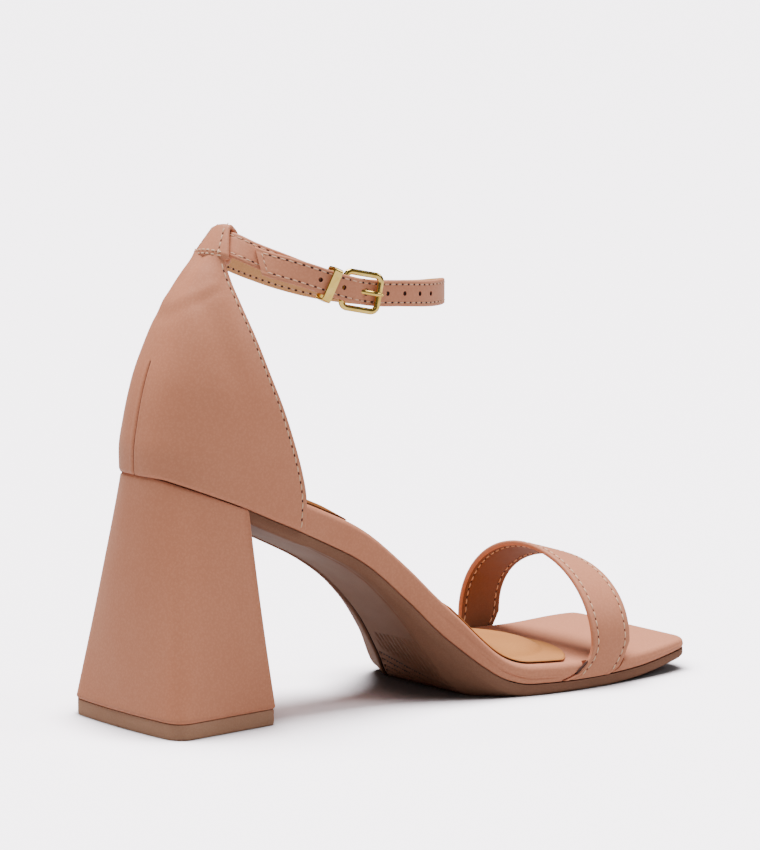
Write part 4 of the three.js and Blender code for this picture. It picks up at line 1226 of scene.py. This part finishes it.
def make_vamp():
    across = np.linspace(0, 1, 45)
    reach = np.minimum(across, 1 - across) * VAMP_WIDTH
    roll = 0.75 * edge_roll(reach, 0.9)
    press = 0.22 * bump(reach, VAMP_STITCH, 0.55)
    plump = -0.12 * ease(reach, VAMP_STITCH, 6)
    outer = vamp_surface(across, roll + press + plump + 0.08)[0]
    inner_press = 0.16 * bump(reach, VAMP_STITCH, 0.5)
    inner = vamp_surface(across, VAMP_WALL - roll - inner_press)[0][:, ::-1]
    rings = np.concatenate([outer, inner], axis=1)
    # The strap's inside takes the darker lining copy, a painted shade.
    kinds = [0] * (len(across) - 1) + [0] + [1] * (len(across) - 1) + [0]
    kinds[len(across) : len(across) + 2] = [0, 0]
    kinds[-3:] = [0, 0, 0]
    made = loft("vamp_band", rings, [nude, shaded_band_lining], kinds, crease=60)
    dress(made, "nude_leather", "vamp_strap")
    rows = []
    for share in (VAMP_STITCH / VAMP_WIDTH, 1 - VAMP_STITCH / VAMP_WIDTH):
        for depth, sign in ((0.22, 1), (VAMP_WALL - 0.12, -1)):
            line, out = vamp_surface([share], [depth])
            keep = slice(4, -4)
            stitch_row(rows, line[keep, 0], sign * out[keep, 0], *VAMP_SEAM)
    thread("vamp_thread", rows, cotton, "nude_leather")
    hole_shade_discs("vamp_stitch_hole_shade", rows, shade_in_holes, "nude_leather", 0.34)


NICK_LOW = 5.0
NICK_HIGH = 11.5
NICK_LENGTH = 7.5


def make_slit_shade():
    """A painted shadow: one dark bead in the nick in the footbed's side behind the strap's outer foot."""
    rear = vamp_surface([0.0], [0.4])[0][:, 0]
    rear = rear[(rear[:, 1] < 0) & (rear[:, 2] > NICK_LOW) & (rear[:, 2] < NICK_HIGH)]
    middle = rear.mean(axis=0) + np.array([-0.5, 0, 0])
    ahead = rear[-1] - rear[0]
    ahead /= np.linalg.norm(ahead)
    normal = np.array([-0.25, -1.0, 0.3])
    normal -= ahead * (normal @ ahead)
    normal /= np.linalg.norm(normal)
    slit = (middle[None], ahead[None], np.cross(ahead, normal)[None], normal[None], NICK_LENGTH, 1.0, 0.05)
    thread("vamp_slit_shade", [slit], shade_in_holes, "nude_leather")


# Ankle strap

STRAP_HOLES = np.radians([115.5, 104.5, 81.0, 70.75, 60.0, 50.25])
PRONG_HOLE = math.radians(92.75)
HOLE_RADIUS = 0.85
PRONG_HOLE_RADIUS = 1.3


def lap_out(turn):
    return LAP * ease(turn, BUCKLE_FRONT_TURN + math.radians(5), BUCKLE_BACK_TURN - math.radians(3))


def lap_sag(turn):
    return -TIP_SAG * ease(turn, KEEPER_TURN + 0.05, math.radians(147))


def strap_run(turn, outwards, upwards):
    """A point of the strap; turns past a full one are on its second lap."""
    second = turn - 2 * math.pi
    return ankle_point(turn, outwards + lap_out(second), upwards + lap_sag(second))


STRAP_START = BUCKLE_BACK_TURN + math.radians(3.6)
STRAP_STITCH = 1.5
TIP_SLANT = math.radians(2.2)


def make_ankle_strap():
    turns = np.linspace(STRAP_START, 2 * math.pi + TIP_TURN, 560)
    edge_up = np.concatenate([np.linspace(-1, 1, 23), np.linspace(1, -1, 23)])
    half, wall = STRAP_WIDTH / 2, STRAP_WALL / 2
    reach = (1 - np.abs(edge_up)) * half
    roll = 0.5 * edge_roll(reach, 0.6)
    press = 0.12 * bump(reach, STRAP_STITCH, 0.4)
    out = np.concatenate([np.ones(23), -np.ones(23)]) * (wall - roll - press)
    tip = 2 * math.pi + TIP_TURN
    slant = TIP_SLANT * edge_up * ease(turns[:, None], tip - 0.2, tip)
    rings = strap_run(turns[:, None] + slant, out[None, :], (edge_up * (half - 0.05))[None, :])
    kinds = [0] * 22 + [0] + [1] * 22 + [0]
    made = loft("ankle_band", rings, [nude, lining], kinds, crease=60)
    punch_holes(made)
    dress(made, "nude_leather", "ankle_strap")
    rows = []
    for share in (-1, 1):
        up = share * (half - STRAP_STITCH)
        for sign in (1, -1):
            run = np.linspace(STRAP_START + 0.04, tip - 0.05 + 0.02 * share, 900)
            shown = np.ones(len(run), bool)
            if sign < 0:
                shown = (run > math.radians(190)) & (run < 2 * math.pi + BUCKLE_FRONT_TURN)
            line = strap_run(run, np.full_like(run, sign * (wall - 0.1)), np.full_like(run, up))
            further = strap_run(run, np.full_like(run, sign * (wall + 0.4)), np.full_like(run, up))
            for piece in np.split(np.arange(len(run)), np.flatnonzero(np.diff(shown.astype(int))) + 1):
                if shown[piece[0]] and len(piece) > 4:
                    stitch_row(rows, line[piece], (further - line)[piece], *STRAP_SEAM)
    end = np.linspace(-1, 1, 20) * (half - STRAP_STITCH)
    run = tip - 0.055 + TIP_SLANT * end / half
    line = strap_run(run, np.full_like(run, wall - 0.08), end)
    further = strap_run(run, np.full_like(run, wall + 0.4), end)
    stitch_row(rows, line, further - line, *STRAP_END_SEAM)
    thread("ankle_thread", rows, toned_cotton, "nude_leather")
    hole_shade_discs("ankle_stitch_hole_shade", rows, shade_in_holes, "nude_leather", 0.52)


def strap_frame(turn):
    """The strap's middle at a turn, with its axes along it to the front, up and outwards."""
    base = ankle_point(np.array(turn), 0.0, 0.0)
    run = ankle_point(np.array(turn - 0.05), 0.0, 0.0) - ankle_point(np.array(turn + 0.05), 0.0, 0.0)
    run /= np.linalg.norm(run)
    out = np.array([run[1], -run[0], 0])
    out /= np.linalg.norm(out)
    up = np.cross(out, run)
    return base, run, up, out


def punch_holes(made):
    """Round holes for the prong, cut through the strap; their walls are painted dark, a painted shade inside
    the holes.
    """
    points, faces = [], []
    sides = 20
    for turn in [*STRAP_HOLES, PRONG_HOLE]:
        base, run, up, out = strap_frame(turn)
        middle = strap_run(np.array(turn + 2 * math.pi), 0.0, 0.0)
        first = len(points)
        radius = PRONG_HOLE_RADIUS if turn == PRONG_HOLE else HOLE_RADIUS
        for depth in (-1.0, 2.0):
            for step in range(sides):
                angle = 2 * math.pi * step / sides
                point = middle + out * depth + run * radius * math.cos(angle)
                points.append(point + up * radius * math.sin(angle))
        faces.append(tuple(first + step for step in range(sides - 1, -1, -1)))
        faces.append(tuple(first + sides + step for step in range(sides)))
        for step in range(sides):
            after = (step + 1) % sides
            faces.append((first + step, first + after, first + sides + after, first + sides + step))
    punch = make_mesh("punch", points, faces, [shade_in_holes], crease=30)
    cut = made.modifiers.new("holes", "BOOLEAN")
    cut.operation, cut.solver, cut.object = "DIFFERENCE", "EXACT", punch
    cut.material_mode = "TRANSFER"
    bpy.context.view_layer.update()
    shaped = bpy.data.meshes.new_from_object(made.evaluated_get(bpy.context.evaluated_depsgraph_get()))
    made.modifiers.clear()
    made.data = shaped
    bpy.data.objects.remove(punch)


# Buckle and keeper

BUCKLE_TURN = (BUCKLE_FRONT_TURN + BUCKLE_BACK_TURN) / 2
BAR_OUT = (STRAP_WALL + BUCKLE_DEPTH) / 2 + 2.8 * CLEARANCE
FRAME_TILT = BAR_OUT / (BUCKLE_LENGTH - BUCKLE_WIRE)


def on_buckle(forwards, upwards, depth):
    base, run, up, out = strap_frame(BUCKLE_TURN)
    tilted = (forwards + (BUCKLE_LENGTH - BUCKLE_WIRE) / 2) * FRAME_TILT + depth - 1.6 * CLEARANCE
    flat = base + np.multiply.outer(forwards, run) + np.multiply.outer(upwards, up)
    return flat + np.multiply.outer(tilted, out)


def rounded_path(length, height, corner, steps=12):
    points = []
    for number, (across, up) in enumerate(((1, 1), (-1, 1), (-1, -1), (1, -1))):
        for step in range(steps + 1):
            angle = (number + step / steps) * math.pi / 2
            points.append((
                across * (length / 2 - corner) + corner * math.cos(angle),
                up * (height / 2 - corner) + corner * math.sin(angle),
            ))
    return np.array(points)


def closed_sweep(name, middle, side, out, width, depth, material, power=2.6, around=20):
    """A ring of wire whose section is a rounded square, closed on itself."""
    angle = np.linspace(0, 2 * math.pi, around, endpoint=False)
    first = np.sign(np.cos(angle)) * np.abs(np.cos(angle)) ** (2 / power) / 2
    second = np.sign(np.sin(angle)) * np.abs(np.sin(angle)) ** (2 / power) / 2
    rings = (
        middle[:, None]
        + side[:, None] * (first * width)[None, :, None]
        + out[:, None] * (second * depth)[None, :, None]
    )
    return make_mesh(name, rings, ring_faces(*rings.shape[:2]), [material], crease=60)


def even_loop(path, count):
    """A closed path at even steps, with its direction at each point."""
    path = np.vstack([path, path[:1]])
    run = np.concatenate([[0], np.cumsum(np.linalg.norm(np.diff(path, axis=0), axis=1))])
    at = np.linspace(0, run[-1], count + 1)[:-1]
    path = np.stack([np.interp(at, run, path[:, 0]), np.interp(at, run, path[:, 1])], axis=1)
    ahead = np.roll(path, -1, axis=0) - np.roll(path, 1, axis=0)
    return path, ahead / np.linalg.norm(ahead, axis=1, keepdims=True)


def make_buckle():
    corner = BUCKLE_CORNER - BUCKLE_WIRE / 2 + 0.2
    wire = rounded_path(BUCKLE_LENGTH - BUCKLE_WIRE, BUCKLE_HEIGHT - BUCKLE_WIRE, corner)
    path, ahead = even_loop(wire, 160)
    sideways = np.stack([ahead[:, 1], -ahead[:, 0]], axis=1)
    middle = on_buckle(path[:, 0], path[:, 1], np.zeros(len(path)))
    outer = on_buckle(path[:, 0] + sideways[:, 0], path[:, 1] + sideways[:, 1], np.zeros(len(path)))
    side = outer - middle
    lifted = on_buckle(path[:, 0], path[:, 1], np.ones(len(path))) - middle
    made = closed_sweep("buckle_ring", middle, side, lifted, BUCKLE_WIRE, BUCKLE_DEPTH, gold, 2.3)
    dress(made, "gold_metal", "buckle_frame")


PRONG_NOSE = 0.8


def prong_end(reach, least):
    """How thick the prong is near one of its rounded ends."""
    inset = np.clip(PRONG_NOSE - reach, 0, PRONG_NOSE) / PRONG_NOSE
    return np.sqrt(np.clip(1 - inset**2, least, 1))


def make_prong():
    back = -BUCKLE_LENGTH / 2 + BUCKLE_WIRE + CLEARANCE
    tip = BUCKLE_LENGTH / 2 - BUCKLE_WIRE * 0.2
    rest = (BUCKLE_DEPTH + PRONG_DEPTH) / 2 + CLEARANCE
    forwards = np.linspace(back, tip, 60)
    lift = rest * ease(forwards, back + 5.0, tip - 2.6) + 0.12
    thin = 1 - 0.22 * ease(forwards, tip - 3.5, tip)
    nose = prong_end(tip - forwards, 0.02)
    start = prong_end(forwards - back, 0.05)
    angle = np.linspace(0, 2 * math.pi, 16, endpoint=False)
    rings = []
    for place, high, fat in zip(forwards, lift, thin * nose * start):
        up = np.cos(angle) * PRONG_WIDTH / 2 * fat
        depth = high + np.sin(angle) * (PRONG_DEPTH - 0.2) / 2 * fat
        rings.append(on_buckle(np.full(16, place), up, depth))
    made = capped("prong_pin", rings, [gold], crease=60)
    dress(made, "gold_metal", "buckle_prong")


def make_keeper():
    base, run, up, out = strap_frame(KEEPER_TURN)
    base = base - KEEPER_DROP * up
    run, up = (
        run * math.cos(KEEPER_TILT) - up * math.sin(KEEPER_TILT),
        up * math.cos(KEEPER_TILT) + run * math.sin(KEEPER_TILT),
    )
    thick = 2 * LAP + 2 * KEEPER_GAP - CLEARANCE + KEEPER_WALL
    high = STRAP_WIDTH + KEEPER_LENGTH * math.sin(KEEPER_TILT) + 2 * KEEPER_GAP + KEEPER_WALL
    path, ahead = even_loop(rounded_path(thick, high, KEEPER_WALL * 0.9, 8), 120)
    middle = base + np.outer(path[:, 0] + LAP / 2, out) + np.outer(path[:, 1], up)
    wall = np.outer(ahead[:, 1], out) - np.outer(ahead[:, 0], up)
    along_strap = np.tile(run, (len(path), 1))
    length = KEEPER_SLIMMING * KEEPER_LENGTH
    made = closed_sweep("keeper_band", middle, along_strap, wall, length, KEEPER_WALL, gold, 7.0, 28)
    dress(made, "gold_metal", "keeper")


# Sock and ball pad

def make_heel_sock():
    end = SEAT_BACK + HEEL_SOCK_LENGTH + 12
    x = np.concatenate([np.linspace(-12, end - 3, 60), end - 3 * np.cos(np.linspace(0, math.pi / 2, 12))[1:]])
    shares = np.sin(np.linspace(-math.pi / 2, math.pi / 2, 40))
    inset = FOOTBED_EDGE + 0.1
    corner = 3 * edge_roll(end - x, 3)
    half_out = np.maximum(half_at(x - 1.4, -1) - inset - corner, 0.4)
    half_in = np.maximum(half_at(x - 1.4, 1) - inset - corner, 0.4)
    y = np.where(shares < 0, shares * half_out[:, None], shares * half_in[:, None])
    rim = np.minimum((1 - np.abs(shares)) * half_out[:, None], np.maximum(end - x, 0)[:, None])
    place = x[:, None] * np.ones(len(shares))
    low = footbed_top(place) + seat_gap(place)
    thick = HEEL_SOCK_THICKNESS - 0.9 * ease(place, end - 14, end - 1)
    high = low - 0.25 + thick - 0.3 * (1 - ease(rim, 0, 0.9))
    over = np.stack([place, y, high], axis=2)
    under = np.stack([place, y, low], axis=2)[:, ::-1]
    made = loft("heel_sock_lining", np.concatenate([over, under], axis=1), [pad_skin], crease=50)
    return dress(made, "tan_leather", "heel_sock")


def make_ball_pad():
    angle = np.linspace(0.05, math.pi - 0.05, 110)
    x = PAD_CENTRE - PAD_HALF_LENGTH * np.cos(angle)
    inset = FOOTBED_EDGE + 0.4
    half_out = np.minimum(PAD_HALF_WIDTH * np.sin(angle), half_at(x, -1) - inset)
    half_in = np.minimum(PAD_HALF_WIDTH * np.sin(angle), half_at(x, 1) - inset)
    shares = np.sin(np.linspace(-math.pi / 2, math.pi / 2, 90))
    y = np.where(shares < 0, shares * half_out[:, None], shares * half_in[:, None])
    place = x[:, None] * np.ones(len(shares))
    base = footbed_top(place) + 1.4 * seat_gap(place)
    radius = np.hypot((place - PAD_CENTRE) / (PAD_HALF_LENGTH - 4.2), y / 31.5)
    crown = np.clip(1 - radius, 0, 1)
    dome = 1 - (1 - np.clip(crown / 0.42, 0, 1)) ** 2.6
    rim = np.minimum(
        np.where(shares < 0, (1 + shares) * half_out[:, None], (1 - shares) * half_in[:, None]),
        (PAD_HALF_LENGTH - np.abs(place - PAD_CENTRE)) * 1.4,
    )
    flange = PAD_RIM - 0.35 * bump(crown, -0.03, 0.035) - 0.45 * (1 - ease(rim, 0, 0.8))
    high = base + np.maximum(flange, 0.2) + (PAD_THICKNESS + 1.5 - PAD_RIM) * dome
    over = np.stack([place, y, high], axis=2)
    under = np.stack([place, y, base], axis=2)[:, ::-1]
    made = loft("ball_pad_cushion", np.concatenate([over, under], axis=1), [pad_skin], crease=60)
    dress(made, "tan_leather", "ball_pad")


# Setting and light

FLOOR_BOUNCE = (0.5, 0.49, 0.49, 1)
FLOOR_SEEN = (1.95, 1.84, 1.94, 1)


CONTACT_REACH = 0.03
FLOOR_HALF = 14


def make_floor():
    """A pale floor: a plain bounce for the light, and its shade close to the shoe."""
    floor_material = bpy.data.materials.new("pale_floor")
    floor_material.use_nodes = True
    tree = floor_material.node_tree
    tree.nodes.clear()
    paper = node(tree, "ShaderNodeBsdfDiffuse")
    leave = node(tree, "ShaderNodeOutputMaterial")
    tree.links.new(paper.outputs["BSDF"], leave.inputs["Surface"])
    rays = node(tree, "ShaderNodeLightPath")
    tone = node(tree, "ShaderNodeMix", data_type="RGBA", clamp_factor=True)
    tone.inputs["A"].default_value = FLOOR_BOUNCE
    nearby = node(tree, "ShaderNodeAmbientOcclusion", {"Distance": CONTACT_REACH})
    shade = node(tree, "ShaderNodeMapRange", {"From Min": 0.4, "From Max": 0.9, "To Min": 0.12})
    tree.links.new(nearby.outputs["AO"], shade.inputs["Value"])
    contact = node(tree, "ShaderNodeVectorMath", {0: FLOOR_SEEN[:3]}, operation="SCALE")
    tree.links.new(shade.outputs["Result"], contact.inputs["Scale"])
    tree.links.new(contact.outputs[0], tone.inputs["B"])
    tree.links.new(rays.outputs["Is Camera Ray"], tone.inputs["Factor"])
    tree.links.new(tone.outputs["Result"], paper.inputs["Color"])
    mesh = bpy.data.meshes.new("floor")
    corners = [(x * FLOOR_HALF, y * FLOOR_HALF, 0) for x, y in ((-1, -1), (1, -1), (1, 1), (-1, 1))]
    mesh.from_pydata(corners, [], [(0, 1, 2, 3)])
    mesh.materials.append(floor_material)
    floor = bpy.data.objects.new("floor", mesh)
    bpy.context.scene.collection.objects.link(floor)


def make_light():
    """A broad overhead sun, a dim pale room, and two boxes in front of the shoe."""
    world = bpy.data.worlds.new("studio")
    bpy.context.scene.world = world
    world.use_nodes = True
    world.node_tree.nodes["Background"].inputs["Color"].default_value = (1.0, 0.99, 0.985, 1)
    world.node_tree.nodes["Background"].inputs["Strength"].default_value = 0.13

    def lamp(name, kind, place, target, **settings):
        data = bpy.data.lights.new(name, kind)
        for key, value in settings.items():
            setattr(data, key, value)
        made = bpy.data.objects.new(name, data)
        made.location = place
        made.rotation_mode = "QUATERNION"
        made.rotation_quaternion = (Vector(target) - Vector(place)).to_track_quat("-Z", "Y")
        bpy.context.scene.collection.objects.link(made)

    middle = (0.09, 0.0, 0.05)
    lamp("overhead", "SUN", (0.10, 0.25, 1.6), middle, energy=7.8, angle=math.radians(36))
    lamp("front_box", "AREA", (-0.9, -1.6, 1.3), middle, shape="SQUARE", size=0.8, energy=1.5)
    lamp("side_box", "AREA", (1.5, -1.2, 1.3), middle, shape="SQUARE", size=0.8, energy=14)


CAMERA_LENS = 235.2
CAMERA_TARGET = (0.090, 0, 0.0974)
CAMERA_AZIMUTH = math.radians(-36.5)
CAMERA_ELEVATION = math.radians(8.35)
CAMERA_DISTANCE = 2.0


def make_camera():
    data = bpy.data.cameras.new("camera")
    data.lens, data.sensor_width, data.sensor_fit = CAMERA_LENS, 36, "AUTO"
    data.clip_start, data.clip_end = 0.05, 60
    camera = bpy.data.objects.new("camera", data)
    level = math.cos(CAMERA_ELEVATION)
    back = Vector((
        math.sin(CAMERA_AZIMUTH) * level,
        -math.cos(CAMERA_AZIMUTH) * level,
        math.sin(CAMERA_ELEVATION),
    ))
    camera.location = Vector(CAMERA_TARGET) + back * CAMERA_DISTANCE
    camera.rotation_mode = "QUATERNION"
    camera.rotation_quaternion = (-back).to_track_quat("-Z", "Y")
    bpy.context.scene.collection.objects.link(camera)
    bpy.context.scene.camera = camera


make_footbed()
make_outsole()
make_heel()
make_lift()
make_counter()
counter_stitches()
make_tab()
make_vamp()
make_slit_shade()
make_ankle_strap()
make_buckle()
make_prong()
make_keeper()
make_heel_sock()
make_ball_pad()
make_floor()
make_light()
make_camera()
